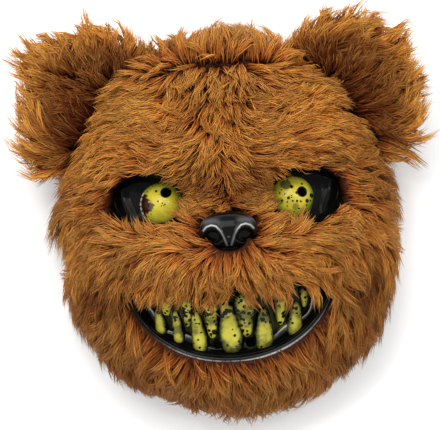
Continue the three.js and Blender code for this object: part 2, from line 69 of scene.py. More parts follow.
# Hills of the face: name, x, y and the two half widths in millimetres, and the rise as a share of its depth
HILLS = (
    ("muzzle", 0.0, -15.75, 43.71, 25.2, 0.3),
    ("chin", 0.0, -81.9, 43.71, 16.8, 0.1),
    ("bridge", 0.0, 8.5, 15.6, 23.98, 0.12),
    ("brow", 37.05, 41.98, 33.75, 12.15, 0.11),
    ("socket", 42.0, 17.0, 27.5, 17.0, -0.07),
    ("cheek", 62.31, -11.55, 23.25, 24.15, 0.08),
)

# Corners of the plush panels on the right half, in millimetres from the nose
EYE_SEAM = (45, 17)
EAR_SEAM = (116, 13)
JAW_SEAM = (125.6, -52.5)
MOUTH_SEAM = (58, -33)
CROWN_SEAM = ((-84, 54.5), (-51, 87), (-19, 98), (19, 98), (51, 87), (84, 54.5))
FAR = 220

# How the pile is brushed: x and y in millimetres from the nose, and the way in degrees, 90 being up
BRUSHED = (
    (0, 112, 90), (-45, 106, 100), (45, 106, 72), (-75, 88, 120), (75, 88, 60), (-20, 104, 95),
    (20, 104, 80), (-55, 92, -150), (-30, 93, -100), (0, 95, -90), (30, 93, -80), (56, 86, -52),
    (-30, 80, -104), (0, 80, -90), (30, 80, -76), (-42, 78, -165), (-38, 68, -178), (-60, 70, -174),
    (-80, 60, -165), (-86, 42, -172), (-60, 52, -174), (-42, 58, -168), (-32, 50, -120), (-16, 48, -100),
    (0, 62, -90), (0, 46, -90), (16, 48, -70), (32, 72, -4), (46, 68, 4), (62, 60, -14), (80, 50, -28),
    (50, 50, -8), (30, 54, -36), (86, 62, -15), (-70, 34, -174), (-46, 38, 176), (-30, 38, -168),
    (30, 38, -14), (46, 38, 6), (66, 35, -12), (-16, 34, -140), (16, 34, -40), (0, 30, -90),
    (-12, 22, -150), (12, 22, -30), (-20, 10, 160), (20, 10, 20), (-29, 3, 125), (-42, 0, 112),
    (-56, 0, 130), (29, 3, 58), (43, 0, 72), (58, 0, 50), (-92, 24, 178), (95, 20, -16), (-68, -10, -150),
    (-86, -10, -134), (-80, -35, -114), (-96, 0, -150), (68, -10, -30), (86, -10, -42), (86, -35, -56),
    (96, 5, -28), (-22, -2, -172), (22, -2, 2), (-30, -12, -160), (30, -12, -20), (-46, -15, -146),
    (-50, -28, -118), (46, -15, -32), (50, -28, -76), (-14, -18, -140), (14, -18, -40), (0, -16, -92),
    (-10, -30, -104), (10, -30, -76), (-30, -28, -122), (30, -28, -60), (-60, -60, -116), (60, -60, -60),
    (-40, -86, -104), (40, -86, -76), (0, -96, -90), (0, -80, -90), (-76, -55, -122), (80, -50, -52),
    (-25, -106, -95), (25, -106, -84), (-90, -60, -125), (90, -60, -50), (-70, -85, -118), (70, -85, -58),
    (60, -26, -92), (66, -30, -100), (-62, -30, -80),
)

# Painted shade on the pile: where it parts, in creases and hollows round the eyes, mouth and ears, and under
# the chin
# and jaw, it is darkened as if in shade: x, y and radius in millimetres, and how dark. A negative number
# brightens a golden patch
SHADES = (
    (-20, 88, 12, 0.3), (10, 88, 12, 0.3), (38, 85, 12, 0.3), (-10, 80, 14, 0.25), (20, 80, 14, 0.25),
    (-46, 84, 10, 0.3), (-45, 60, 9, 0.55), (-30, 61, 9, 0.5), (0, 25, 13, 0.7), (-12, 31, 11, 0.65),
    (14, 32, 11, 0.6), (-30, 33, 7, 0.4), (-74, -31, 14, 0.95), (-84, -33, 11, 0.6), (74, -27, 14, 0.95),
    (84, -26, 11, 0.6), (-72, 6, 12, 0.4), (60, 36, 9, 0.45), (-60, -76, 24, 0.7), (62, -73, 24, 0.6),
    (0, -98, 26, 0.5), (-30, -92, 22, 0.55), (35, -92, 22, 0.5), (-92, 30, 13, 0.5), (94, 28, 16, 0.6),
    (-82, -58, 22, 0.6), (86, -52, 22, 0.7), (-56, -14, 9, 0.5), (50, -14, 9, 0.4), (0, -32, 16, 0.25),
    (-68, 20, 9, 0.3), (80, 20, 12, 0.5), (-36, 12, 8, 0.2), (92, -10, 14, 0.3),
    (-38, 72, 14, -0.9), (-64, 62, 18, -0.7), (48, 70, 22, -0.9), (0, 116, 26, -0.4), (-30, 112, 20, -0.4),
    (34, 110, 20, -0.4), (-64, 42, 16, -0.5), (30, -20, 14, -0.5), (0, -14, 10, -0.3), (-84, -10, 18, -0.3), (86, 0, 18, -0.3),
)

# Where the pile is longer or shorter: x, y and radius in millimetres, and the change as a share
LENGTHS = (
    (-98, 23, 13, 1.0), (-92, 42, 14, 0.35), (99, 30, 15, 0.85), (-25, 112, 24, 0.35), (5, 112, 24, 0.3),
    (35, 110, 24, 0.25), (-55, 100, 16, 0.25), (98, -2, 14, 0.3),
    (92, -20, 26, 0.25), (88, -50, 22, 0.2), (-92, -34, 20, 0.2),
    (-45, -98, 16, -0.45), (62, -92, 12, 0.3), (-98, -2, 12, -0.4), (-98, -25, 14, 0.4), (-76, -70, 16, 0.15), (8, -108, 26, 0.25), (0, -34, 30, -0.1), (55, -27, 13, 0.35), (-51, -22, 9, -0.3),
    (-20, 84, 16, -0.3), (10, 84, 16, -0.35), (38, 82, 16, -0.3), (66, 4, 14, -0.1), (0, 24, 14, -0.3),
    (80, -22, 9, -0.3), (-76, -24, 10, -0.3), (78, -66, 16, 0.2),
    (-30, -1, 11, 0.35), (-20, 6, 9, 0.2), (30, -1, 11, 0.2), (22, 8, 9, 0.15), (-60, 2, 12, 0.2),
)

# The same for the ears
EAR_LENGTHS = ((-101, 46, 18, 0.6), (101, 46, 17, 0.5), (-106, 108, 14, 0.4), (78, 126, 16, 0.25))

# Fangs, left to right: the x of root and tip and the width as shares of the mouth's half width,
# and how far down root and tip lie as shares of its drop
LOWER_FANGS = (
    (-0.68, 0.64, -0.73, 0.28, 0.13),
    (-0.51, 0.78, -0.55, 0.32, 0.13),
    (-0.30, 0.93, -0.36, 0.32, 0.17),
    (0.01, 0.99, -0.05, 0.20, 0.25),
    (0.31, 0.94, 0.32, 0.34, 0.21),
    (0.61, 0.80, 0.65, 0.28, 0.18),
)
UPPER_FANGS = (
    (-0.62, 0.05, -0.64, 0.38, 0.14),
    (-0.42, 0.06, -0.43, 0.56, 0.13),
    (-0.20, 0.08, -0.19, 0.74, 0.17),
    (0.13, 0.08, 0.15, 0.74, 0.22),
    (0.47, 0.06, 0.49, 0.60, 0.15),
    (0.72, 0.05, 0.73, 0.36, 0.10),
)

# Spots of paint on the eyes, in millimetres from the dome's middle: x, y and radius
LEFT_SPOTS = ((-2.1, 7.4, 0.8), (-0.9, 1.1, 0.6), (1.5, -0.2, 0.5), (3.0, -0.9, 0.5), (2.3, -1.6, 0.4))
RIGHT_SPOTS = (
    (-0.7, 5.8, 1.1), (2.0, 2.0, 1.0), (5.9, 7.4, 0.7), (11.6, 0.4, 1.4), (8.3, -2.8, 1.2), (10.5, -2.8, 0.6),
    (-3.1, -0.9, 1.0), (-5.0, 1.3, 0.7), (-0.7, -2.8, 0.7), (1.9, -2.9, 0.8), (4.2, -3.2, 0.7),
    (-3.9, -3.2, 0.6), (-3.9, -5.7, 0.5), (7.8, -5.4, 0.6), (7.8, -9.8, 0.7), (-6.8, -2.3, 0.8),
    (-7.9, 2.4, 0.6), (-2.6, 10.4, 0.5), (3.6, -7.4, 0.4), (0.2, -8.8, 0.4),
)


def length(name, default, description):
    """A size in metres that a user can change."""
    return bpy.props.FloatProperty(
        name=name, default=default, description=description, min=0.0, unit="LENGTH"
    )


def factor(name, default, description):
    """A bare number that a user can change."""
    return bpy.props.FloatProperty(name=name, default=default, description=description)


def colour(name, default, description):
    """A colour that a user can change."""
    return bpy.props.FloatVectorProperty(
        name=name, default=default, description=description, subtype="COLOR", size=3, min=0.0, max=1.0
    )


class HeadSizes(bpy.types.PropertyGroup):
    """The plush head without its pile"""

    half_width: length("Half width", 0.093, "Half the width of the head")
    crown: length("Crown", 0.109, "From the nose up to the crown")
    chin: length("Chin", 0.105, "From the nose down to the chin")
    depth: length("Depth", 0.076, "Height of the face over the rim")
    widest: length("Widest at", 0.024, "Height of the widest section over the rim")
    rim_tuck: length("Rim tuck", 0.006, "How far the rim is drawn in")
    plush_wall: length("Plush", 0.006, "Thickness of backing and underfur")
    shell_wall: length("Sheet", 0.0015, "Thickness of the formed sheet")
    crown_square: factor("Crown squareness", 2.15, "Power of the outline's upper half")
    chin_square: factor("Chin squareness", 2.3, "Power of the outline's lower half")
    dome_square: factor("Dome squareness", 2.3, "Power of the face's profile")


class FaceSizes(bpy.types.PropertyGroup):
    """Eyes, nose and mouth"""

    eye_offset: length("Eye offset", 0.039, "From the middle of the face to an eye")
    eye_up: length("Eye height", 0.017, "From the nose up to the eyes")
    eye_radius: length("Eye radius", 0.0135, "Radius of an eye's dome")
    eye_rise: length("Eye rise", 0.0085, "Height of an eye's dome")
    pupil_radius: length("Pupil", 0.0028, "Radius of the see-through hole")
    socket_depth: length("Socket depth", 0.005, "Depth of the eye's pocket")
    socket_width: length("Socket half width", 0.025, "Half the width of the eye's pocket")
    socket_height: length("Socket half height", 0.017, "Half the height of the eye's pocket")
    socket_out: length("Socket shift", 0.006, "How far the pocket lies outside its eye")
    nose_width: length("Nose half width", 0.017, "Half the width of the nose")
    nose_height: length("Nose half height", 0.0105, "Half the height of the nose")
    nose_rise: length("Nose rise", 0.013, "How far the nose stands out")
    mouth_width: length("Mouth half width", 0.059, "Half the width of the mouth")
    mouth_low: length("Mouth level", 0.033, "From the nose down to the mouth's corners")
    mouth_drop: length("Mouth drop", 0.042, "From the corners down to the lower lip")
    mouth_depth: length("Mouth depth", 0.008, "Depth of the mouth's recess")
    gum_band: length("Gum", 0.009, "Width of the lower gum")
    gum_rise: length("Gum rise", 0.0035, "Height of the gums")
    tooth_rise: length("Tooth rise", 0.0075, "Height of a fang over the recess")
    lip_radius: length("Lip radius", 0.0022, "Radius of the bead under the mouth")
    hole_radius: length("Breathing hole", 0.0029, "Radius of a breathing hole")
    hole_offset: length("Breathing hole offset", 0.0098, "From the middle to a breathing hole")


class EarSizes(bpy.types.PropertyGroup):
    """The two ears without their pile"""

    radius: length("Radius", 0.040, "Radius of an ear")
    across: length("Across", 0.075, "From the middle to an ear's centre")
    up: length("Up", 0.078, "From the nose up to an ear's centre")
    height: length("Height", 0.033, "Height of an ear's rim over the floor")
    cup: length("Cup", 0.012, "Depth of the ear's cup")
    wall: length("Wall", 0.008, "Thickness of an ear")
    tilt: bpy.props.FloatProperty(
        name="Tilt", default=0.2, description="Lean of an ear towards the face", subtype="ANGLE"
    )


class PileSizes(bpy.types.PropertyGroup):
    """The long pile"""

    reach: length("Length", 0.025, "Length of a lock on the head")
    ear_reach: length("Length on the ears", 0.027, "Length of a lock on an ear")
    lift: length("Lift", 0.007, "How high the tips stand over the backing")
    lock_spacing: length("Lock spacing", 0.0038, "Distance between two locks")
    hair_width: length("Hair width", 0.0009, "Width of a bundle of hairs")


class Finishes(bpy.types.PropertyGroup):
    """Colours of the mask and of the stage"""

    fur_root: colour("Pile root", (0.055, 0.013, 0.004), "Colour of the pile at its root")
    fur_middle: colour("Pile middle", (0.33, 0.101, 0.015), "Colour of the pile half way")
    fur_tip: colour("Pile tip", (0.57, 0.285, 0.06), "Colour of the pile at its tip")
    # Painted shade: the pile's colour is multiplied by this tint where its shade attribute says
    fur_shade: colour("Pile in the shade", (0.19, 0.08, 0.09), "Tint of the pile where it parts")
    plastic: colour("Plastic", (0.0015, 0.0018, 0.0014), "Colour of the formed sheet, nose and lip")
    eye_yellow: colour("Eye paint", (0.58, 0.47, 0.035), "Main colour of the eyes")
    tooth_yellow: colour("Tooth paint", (0.42, 0.38, 0.045), "Main colour of the fangs")
    # Colour of the silvery paint rubbed onto the nose's arches, and of the painted highlights on the nose, lip
    # and gum
    silver_and_highlight: colour("Silver", (0.6, 0.6, 0.6), "Rubbed silver on raised edges")
    floor: colour("Floor", (0.93, 0.93, 0.93), "Colour of the surface below")


def smooth_step(low, high, value):
    share = np.clip((value - low) / (high - low), 0.0, 1.0)
    return share * share * (3 - 2 * share)


def unit(vectors):
    return vectors / np.maximum(np.linalg.norm(vectors, axis=-1, keepdims=True), 1e-12)


def dot(a, b):
    return np.sum(a * b, axis=-1, keepdims=True)


class Head:
    """The head's smooth surface in its own frame, in metres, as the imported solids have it"""

    def __init__(self, sizes):
        self.s = sizes

    def outline(self, angle):
        s = self.s
        upper = np.sin(angle) >= 0
        power = np.where(upper, s.crown_square, s.chin_square)
        reach = np.where(upper, s.crown, s.chin)
        across = np.abs(np.cos(angle)) / s.half_width
        along = np.abs(np.sin(angle)) / reach
        return (across**power + along**power) ** (-1 / power)

    def relief(self, x, y):
        s = self.s
        rise = np.zeros_like(x)
        for _, hill_x, hill_y, wide, high, share in HILLS:
            for side in (1,) if hill_x == 0 else (-1, 1):
                across = (x / MM - side * hill_x) / wide
                along = (y / MM - hill_y) / high
                rise += share * s.depth * np.exp(-across * across - along * along)
        return rise

    def height(self, x, y):
        s = self.s
        share = np.minimum(1.0, np.hypot(x, y) / self.outline(np.arctan2(y, x)))
        dome = (1 - share**s.dome_square) ** (1 / s.dome_square)
        fade = 1 - smooth_step(0.75, 1.0, share)
        return s.widest + (s.depth - s.widest) * dome + self.relief(x, y) * fade

    def point(self, along, angle):
        s = self.s
        reach = self.outline(angle)
        front = np.clip(along / FRONT, 0.0, 1.0)
        down = np.clip((along - FRONT) / (1 - FRONT), 0.0, 1.0)
        radius = np.where(along <= FRONT, reach * np.sin(front * math.pi / 2) ** (2 / s.dome_square), 0.0)
        radius = np.where(along > FRONT, reach - s.rim_tuck * down * down, radius)
        x, y = radius * np.cos(angle), radius * np.sin(angle)
        z = np.where(along <= FRONT, self.height(x, y), s.widest * (1 - down))
        return np.stack([x, y, z], -1)

    def normal(self, along, angle):
        step = 0.004
        at = np.clip(along, step, 1 - step)
        outward = self.point(at + step, angle) - self.point(at - step, angle)
        around = self.point(at, angle + step) - self.point(at, angle - step)
        return unit(np.cross(outward, around))

    def on_face(self, x, y, offset):
        """A place on the face at x, y, moved out along its normal, and that normal"""
        x, y = np.asarray(x, float), np.asarray(y, float)
        step = 0.0005
        slope_x = (self.height(x + step, y) - self.height(x - step, y)) / (2 * step)
        slope_y = (self.height(x, y + step) - self.height(x, y - step)) / (2 * step)
        normal = unit(np.stack([-slope_x, -slope_y, np.ones_like(x)], -1))
        return np.stack([x, y, self.height(x, y)], -1) + normal * offset, normal

    def under_face(self, x, y, depth):
        """The place depth below the face that lies right under x, y, and the normal there"""
        x, y = np.asarray(x, float), np.asarray(y, float)
        ax, ay = x.copy(), y.copy()
        place, normal = self.on_face(ax, ay, -depth)
        for _ in range(5):
            ax = ax + x - place[..., 0]
            ay = ay + y - place[..., 1]
            place, normal = self.on_face(ax, ay, -depth)
        return place, normal


def inside(points, x, y):
    """Whether each x, y lies inside an outline"""
    odd = np.zeros(x.shape, bool)
    for (ax, ay), (bx, by) in zip(points, points[-1:] + points[:-1]):
        if ay == by:
            continue
        cross = ((ay > y) != (by > y)) & (x < (bx - ax) * (y - ay) / (by - ay) + ax)
        odd ^= cross
    return odd


def panel_outlines():
    """Outlines of the six panels of plush, in metres"""

    def left(p):
        return (-p[0], p[1])

    high, low, below = (FAR, EAR_SEAM[1]), (FAR, JAW_SEAM[1]), (FAR, -FAR)
    lip_middle = (-1, -54)
    eye, ear, jaw, mouth = EYE_SEAM, EAR_SEAM, JAW_SEAM, MOUTH_SEAM
    mouth_left = (-60, -33)
    outlines = {
        "fur_crown": [left(ear), *CROWN_SEAM, ear, (FAR, FAR), (-FAR, FAR)],
        "fur_forehead": [left(ear), left(eye), eye, ear, *reversed(CROWN_SEAM)],
        "fur_cheek_left": [left(eye), left(ear), left(high), left(low), left(jaw), mouth_left],
        "fur_cheek_right": [mouth, jaw, low, high, ear, eye],
        "fur_muzzle": [left(eye), mouth_left, lip_middle, mouth, eye],
        "fur_chin": [mouth_left, left(jaw), left(low), left(below), below, low, jaw, mouth, lip_middle],
    }
    return {name: [(x * MM, y * MM) for x, y in points] for name, points in outlines.items()}


def mouth_share(face, x, y, grow=0.0):
    """0 in the middle of the mouth, 1 at its edge, for a half-moon with its corners up"""
    half = face.mouth_width + grow
    top = -face.mouth_low + grow
    drop = face.mouth_drop + 2 * grow
    across = (x + 1 * MM) / half
    low = np.sqrt(across**2 + (np.minimum(0.0, y - top) / drop) ** 2)
    sag = 0.75 * 0.004 * np.clip(1 - across**2, 0, 1)
    return np.where(y > top - sag, 1.0 + (y - top + sag) / (0.3 * drop), low)


def socket_share(face, side, x, y, grow=0.0):
    """0 in the middle of an eye's pocket, 1 at its edge"""
    turn = side * 0.16
    dx, dy = x - side * (face.eye_offset + face.socket_out), y - face.eye_up
    across = (dx * math.cos(turn) + dy * math.sin(turn)) / (face.socket_width + grow)
    along = (-dx * math.sin(turn) + dy * math.cos(turn)) / (face.socket_height + grow)
    return np.hypot(across, along)


def in_opening(face, x, y, grow=0.0):
    """Whether x, y lies where the plush is cut out for an eye, the nose or the mouth"""
    edge = 0.0015 + grow
    open_eye = (socket_share(face, -1, x, y, edge) < 1) | (socket_share(face, 1, x, y, edge) < 1)
    nose = np.hypot(x / (face.nose_width + grow), y / (face.nose_height + grow)) < 1
    return open_eye | nose | (mouth_share(face, x, y, 2 * face.lip_radius + grow) < 1)


def place(mesh):
    """Moves a mesh from the head's frame to the row frame"""
    mesh.transform(Matrix.Translation((HEAD_X, HEAD_Y, 0)))


def add_piece(name, source, material, slot, *nodes):
    """Makes an object of a bmesh or mesh in the head's frame, hangs it on the root's empty and hides the
    imported parts that it takes the place of
    """
    if isinstance(source, bmesh.types.BMesh):
        mesh = bpy.data.meshes.new(name)
        source.to_mesh(mesh)
        source.free()
    else:
        mesh = source
        mesh.name = name
    mesh.shade_smooth()
    place(mesh)
    mesh.materials.clear()
    for one in material if isinstance(material, (list, tuple)) else [material]:
        mesh.materials.append(one)
    piece = bpy.data.objects.new(name, mesh)
    bpy.context.scene.collection.objects.link(piece)
    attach(piece, "root")
    if nodes:
        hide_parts(*nodes)
    return piece


def coordinates(mesh):
    found = np.empty(len(mesh.vertices) * 3)
    mesh.vertices.foreach_get("co", found)
    return found.reshape(-1, 3)


def paint_attribute(mesh, name, values):
    """Stores a number from 0 to 1 on each vertex, for the material"""
    attribute = mesh.attributes.new(name, "FLOAT", "POINT")
    attribute.data.foreach_set("value", np.asarray(values, np.float32))


def cut(mesh, cutter):
    """The mesh less a bmesh, by a Boolean that is applied"""
    solid = bpy.data.objects.new("cut", mesh)
    tool = bpy.data.objects.new("tool", bpy.data.meshes.new("tool"))
    cutter.to_mesh(tool.data)
    cutter.free()
    for one in (solid, tool):
        bpy.context.scene.collection.objects.link(one)
    modifier = solid.modifiers.new("cut", "BOOLEAN")
    modifier.object = tool
    modifier.operation = "DIFFERENCE"
    modifier.solver = "EXACT"
    made = bpy.data.meshes.new_from_object(solid.evaluated_get(bpy.context.evaluated_depsgraph_get()))
    for one in (solid, tool):
        bpy.data.objects.remove(one)
    return made


def head_sheet(head, segments, rings):
    """A sphere drawn onto the head's surface, open at the rim, with the along and angle of each vertex"""
    bm = bmesh.new()
    bmesh.ops.create_uvsphere(bm, u_segments=segments, v_segments=rings, radius=1.0)
    rim = 0.75 * math.pi
    low = [v for v in bm.verts if math.acos(max(-1, min(1, v.co.z))) > rim + 0.001]
    bmesh.ops.delete(bm, geom=low, context="VERTS")
    ball = np.array([v.co for v in bm.verts])
    along = np.clip(np.arccos(np.clip(ball[:, 2], -1, 1)) / rim, 0, 1)
    angle = np.arctan2(ball[:, 1], ball[:, 0])
    return bm, along, angle


def set_coordinates(bm, points):
    for vertex, point in zip(bm.verts, points):
        vertex.co = point


def along_frame(point, axis, normal):
    """The turn and place of a piece whose Y runs along an axis and whose Z leans to a normal"""
    along = Vector(axis).normalized()
    across = along.cross(Vector(normal)).normalized()
    outward = across.cross(along)
    return Matrix.Translation(point) @ Matrix((across, along, outward)).transposed().to_4x4()


def eye_frame(head, face, side):
    """The frame of an eye: under the face, with Z between its normal and straight up"""
    point, normal = head.under_face(
        side * face.eye_offset, face.eye_up, head.s.plush_wall + 0.3 * MM
    )
    facing = (Vector(normal) + Vector((0, 0, 1))).normalized()
    turn = Vector((0, 0, 1)).rotation_difference(facing)
    return Matrix.Translation(Vector(point)) @ turn.to_matrix().to_4x4()


class Nodes:
    """Short ways to add nodes to a material"""

    def __init__(self, name):
        self.material = bpy.data.materials.new(name)
        self.material.use_nodes = True
        self.tree = self.material.node_tree
        self.shader = self.tree.nodes["Principled BSDF"]

    def add(self, kind, inputs=(), **settings):
        node = self.tree.nodes.new(kind)
        for key, value in settings.items():
            setattr(node, key, value)
        for socket, value in dict(inputs).items():
            self.set(node.inputs[socket], value)
        return node

    def set(self, socket, value):
        if isinstance(value, bpy.types.NodeSocket):
            self.tree.links.new(value, socket)
        elif isinstance(value, bpy.types.Node):
            self.tree.links.new(value.outputs[0], socket)
        elif socket.type == "RGBA":
            socket.default_value = (*value, 1.0)
        else:
            socket.default_value = value

    def shade(self, **values):
        for key, value in values.items():
            self.set(self.shader.inputs[key.replace("_", " ")], value)

    def ramp(self, fac, stops, interpolation="LINEAR"):
        node = self.add("ShaderNodeValToRGB", {"Fac": fac})
        node.color_ramp.interpolation = interpolation
        while len(node.color_ramp.elements) < len(stops):
            node.color_ramp.elements.new(0.5)
        for element, (position, value) in zip(node.color_ramp.elements, stops):
            element.position = position
            element.color = (*value, 1.0) if len(value) == 3 else value
        return node.outputs["Color"]

    def mix(self, fac, a, b, blend="MIX"):
        node = self.add("ShaderNodeMix", data_type="RGBA", blend_type=blend)
        self.set(node.inputs[0], fac)
        self.set(node.inputs[6], a)
        self.set(node.inputs[7], b)
        return node.outputs[2]

    def math(self, operation, a, b=0.0):
        node = self.add("ShaderNodeMath", operation=operation)
        self.set(node.inputs[0], a)
        self.set(node.inputs[1], b)
        return node.outputs[0]

    def attribute(self, name):
        return self.add("ShaderNodeAttribute", attribute_name=name).outputs["Fac"]

    def place(self):
        return self.add("ShaderNodeTexCoord").outputs["Object"]

    def noise(self, scale, detail=4.0, roughness=0.6, vector=None):
        inputs = {"Vector": vector or self.place(), "Scale": scale, "Detail": detail, "Roughness": roughness}
        return self.add("ShaderNodeTexNoise", inputs).outputs["Fac"]

    def spots(self, scale, size):
        """Round spots of several sizes, 1 inside"""
        warp = self.add("ShaderNodeTexVoronoi", {"Vector": self.place(), "Scale": scale, "Randomness": 1.0})
        reach = self.math("MULTIPLY", self.noise(scale * 0.37, 2.0), size * 2)
        return self.math("LESS_THAN", warp.outputs["Distance"], reach)

    def bump(self, height, strength, distance):
        node = self.add("ShaderNodeBump", {"Height": height, "Strength": strength, "Distance": distance})
        self.set(self.shader.inputs["Normal"], node.outputs["Normal"])


def grey(value):
    return (value, value, value)


def fur_material(finish):
    """Pile: dark at the root, golden at the tip, with a tone of its own for each hair, and painted shade where
    its shade attribute says
    """
    n = Nodes("plush_pile")
    strand = n.add("ShaderNodeUVMap", uv_map="strand").outputs["UV"]
    parts = n.add("ShaderNodeSeparateXYZ", {"Vector": strand})
    tone, along = parts.outputs["X"], parts.outputs["Y"]
    stops = [
        (0.0, tuple(finish.fur_root)),
        (0.42, tuple(finish.fur_middle)),
        (0.9, tuple(finish.fur_tip)),
    ]
    base = n.ramp(along, stops)
    own_tone = n.ramp(tone, [(0.0, (0.68, 0.57, 0.58)), (0.5, (1.0, 0.95, 0.93)), (1.0, (1.38, 1.45, 1.3))])
    base = n.mix(1.0, base, own_tone, "MULTIPLY")
    warm = n.ramp(n.noise(28.0, 3.0), [(0.35, (1.0, 0.84, 0.72)), (0.65, (1.0, 1.0, 1.0))])
    base = n.mix(0.8, base, warm, "MULTIPLY")
    # Painted shade: multiplies the pile's colour by the shade tint where the shade attribute says
    base = n.mix(n.attribute("shade"), base, tuple(finish.fur_shade), "MULTIPLY")
    n.shade(Base_Color=base, Roughness=0.62, Specular_IOR_Level=0.12)
    return n.material


def backing_material(finish):
    """Underfur close to the backing: dark and matted"""
    n = Nodes("plush_underfur")
    root = tuple(finish.fur_root)
    half = tuple(0.5 * c for c in finish.fur_middle)
    matted = n.ramp(n.noise(900.0, 3.0), [(0.35, root), (0.7, half)])
    n.shade(Base_Color=matted, Roughness=0.95, Specular_IOR_Level=0.0)
    n.bump(n.noise(1400.0, 3.0), 0.8, 0.001)
    return n.material


def plastic_material(name, finish, gloss=0.12):
    """Glossy black sheet with fine scuffs, and silvery paint where an attribute says: silvery paint rubbed onto
    the nose's arches, and painted highlights on the nose's top and along the lip
    """
    n = Nodes(name)
    black = tuple(finish.plastic)
    base = n.ramp(n.noise(60.0, 5.0), [(0.3, black), (0.8, tuple(2.0 * c for c in black))])
    rough = n.ramp(n.noise(340.0, 6.0, 0.7), [(0.35, grey(0.1)), (0.7, grey(0.22))])
    # Silvery paint rubbed onto the nose's arches, and painted highlights on the nose and lip, where the
    # attribute says
    base = n.mix(n.attribute("wear_and_highlight"), base, tuple(finish.silver_and_highlight))
    olive = n.ramp(n.noise(70.0, 4.0), [(0.35, (0.012, 0.014, 0.005)), (0.65, (0.05, 0.046, 0.014))])
    base = n.mix(n.attribute("green"), base, olive)
    n.shade(Base_Color=base, Roughness=rough, Specular_IOR_Level=gloss)
    n.bump(n.noise(90.0, 2.0), 0.1, 0.0006)
    return n.material


def eye_material(name, finish):
    """Yellow paint that turns green at the edge, with black spots and a dark stain"""
    n = Nodes(name)
    yellow = tuple(finish.eye_yellow)
    green = (0.33 * yellow[0], 0.55 * yellow[1], 0.6 * yellow[2])
    blotch = n.noise(120.0, 4.0)
    edge = (0.03, 0.04, 0.01)
    base = n.ramp(n.attribute("edge"), [(0.0, yellow), (0.7, yellow), (0.93, green), (1.0, edge)])
    base = n.mix(n.ramp(blotch, [(0.48, grey(0.0)), (0.72, grey(0.55))]), base, green)
    base = n.mix(n.attribute("olive"), base, (0.07, 0.06, 0.02))
    base = n.mix(n.attribute("stain"), base, (0.03, 0.005, 0.003))
    base = n.mix(n.attribute("white"), base, (0.75, 0.75, 0.62))
    spots = n.math("MAXIMUM", n.attribute("spot"), n.spots(260.0, 0.13))
    base = n.mix(spots, base, (0.006, 0.007, 0.004))
    n.shade(Base_Color=base, Roughness=n.ramp(n.noise(300.0), [(0.3, grey(0.12)), (0.7, grey(0.24))]))
    n.shade(Specular_IOR_Level=0.25)
    n.bump(n.noise(200.0, 2.0), 0.08, 0.0005)
    return n.material


def tooth_material(finish):
    """Yellow-green paint sprayed on the fangs' crowns, black in the gaps, with splashes of black, and a painted
    highlight line along the lower gum
    """
    n = Nodes("tooth_paint")
    yellow = tuple(finish.tooth_yellow)
    olive = (0.27 * yellow[0], 0.31 * yellow[1], 0.4 * yellow[2])
    dirt = n.ramp(n.noise(85.0, 5.0), [(0.4, grey(0.0)), (0.62, grey(0.55))])
    level = n.math("SUBTRACT", n.math("ADD", n.attribute("crown"), 0.08), dirt)
    black = tuple(finish.plastic)
    bright = tuple(1.25 * c for c in yellow)
    base = n.ramp(level, [(0.08, black), (0.5, olive), (0.8, yellow), (1.0, bright)])
    splash = n.math("MAXIMUM", n.spots(230.0, 0.2), n.spots(120.0, 0.1))
    splash = n.math("MAXIMUM", splash, n.math("MULTIPLY", n.spots(330.0, 0.42), n.math("GREATER_THAN", n.attribute("splashed"), 0.5)))
    base = n.mix(splash, base, (0.007, 0.008, 0.004))
    # Painted highlight on the lower gum, where its attribute says
    wear_and_highlight = n.attribute("wear_and_highlight")
    base = n.mix(wear_and_highlight, base, tuple(finish.silver_and_highlight))
    n.shade(Base_Color=base, Roughness=n.ramp(n.noise(260.0), [(0.3, grey(0.14)), (0.7, grey(0.3))]))
    n.shade(Specular_IOR_Level=0.25)
    n.bump(n.noise(160.0, 3.0), 0.15, 0.0006)
    return n.material


def triangles_of(bm):
    """Corners of a bmesh's triangles as arrays: places and the three indices"""
    points = np.array([v.co for v in bm.verts])
    bm.verts.index_update()
    corners = np.array([[loop.vert.index for loop in loops] for loops in bm.calc_loop_triangles()])
    return points, corners


def surface_area(surface, weight):
    """Area of a triangle mesh, each triangle counted by its weight"""
    a, b, c = (surface[0][surface[1][:, i]] for i in range(3))
    cross = np.cross(b - a, c - a)
    return float(np.sum(0.5 * np.linalg.norm(cross, axis=1) * weight((a + b + c) / 3, unit(cross))))


def scatter(points, corners, count, rng, weight):
    """count random places on a triangle mesh, with normals"""
    a, b, c = (points[corners[:, i]] for i in range(3))
    cross = np.cross(b - a, c - a)
    area = 0.5 * np.linalg.norm(cross, axis=1)
    share = area * weight((a + b + c) / 3, unit(cross))
    chosen = rng.choice(len(corners), size=count, p=share / share.sum())
    u, v = rng.random(count), rng.random(count)
    flip = u + v > 1
    u, v = np.where(flip, 1 - u, u)[:, None], np.where(flip, 1 - v, v)[:, None]
    spot = a[chosen] + (b - a)[chosen] * u + (c - a)[chosen] * v
    return spot, unit(cross)[chosen]


def nearest(tree, points):
    """Foot of each point on a surface, and the surface's normal there"""
    feet, normals = np.empty_like(points), np.empty_like(points)
    for i, point in enumerate(points):
        foot, normal, _, _ = tree.find_nearest(point)
        feet[i], normals[i] = foot, normal
    return feet, normals


def tangent(vectors, normals):
    return unit(vectors - normals * dot(vectors, normals))


def turned(vectors, normals, angle):
    """Tangent vectors turned about the normals"""
    return vectors * np.cos(angle)[:, None] + np.cross(normals, vectors) * np.sin(angle)[:, None]


def brushed_rows(crown):
    """The rows that hold for the crown, brushed up from a soft parting, or for the panels below it"""
    up = [row for row in BRUSHED if row[1] > 80 and 45 < row[2] < 135]
    if not crown:
        return [row for row in BRUSHED if row not in up]
    sides = [row for row in BRUSHED if row[1] > 80 and abs(row[0]) > 50 and row not in up]
    return up + sides + [(-30, 86, -100), (0, 88, -90), (30, 86, -80)]


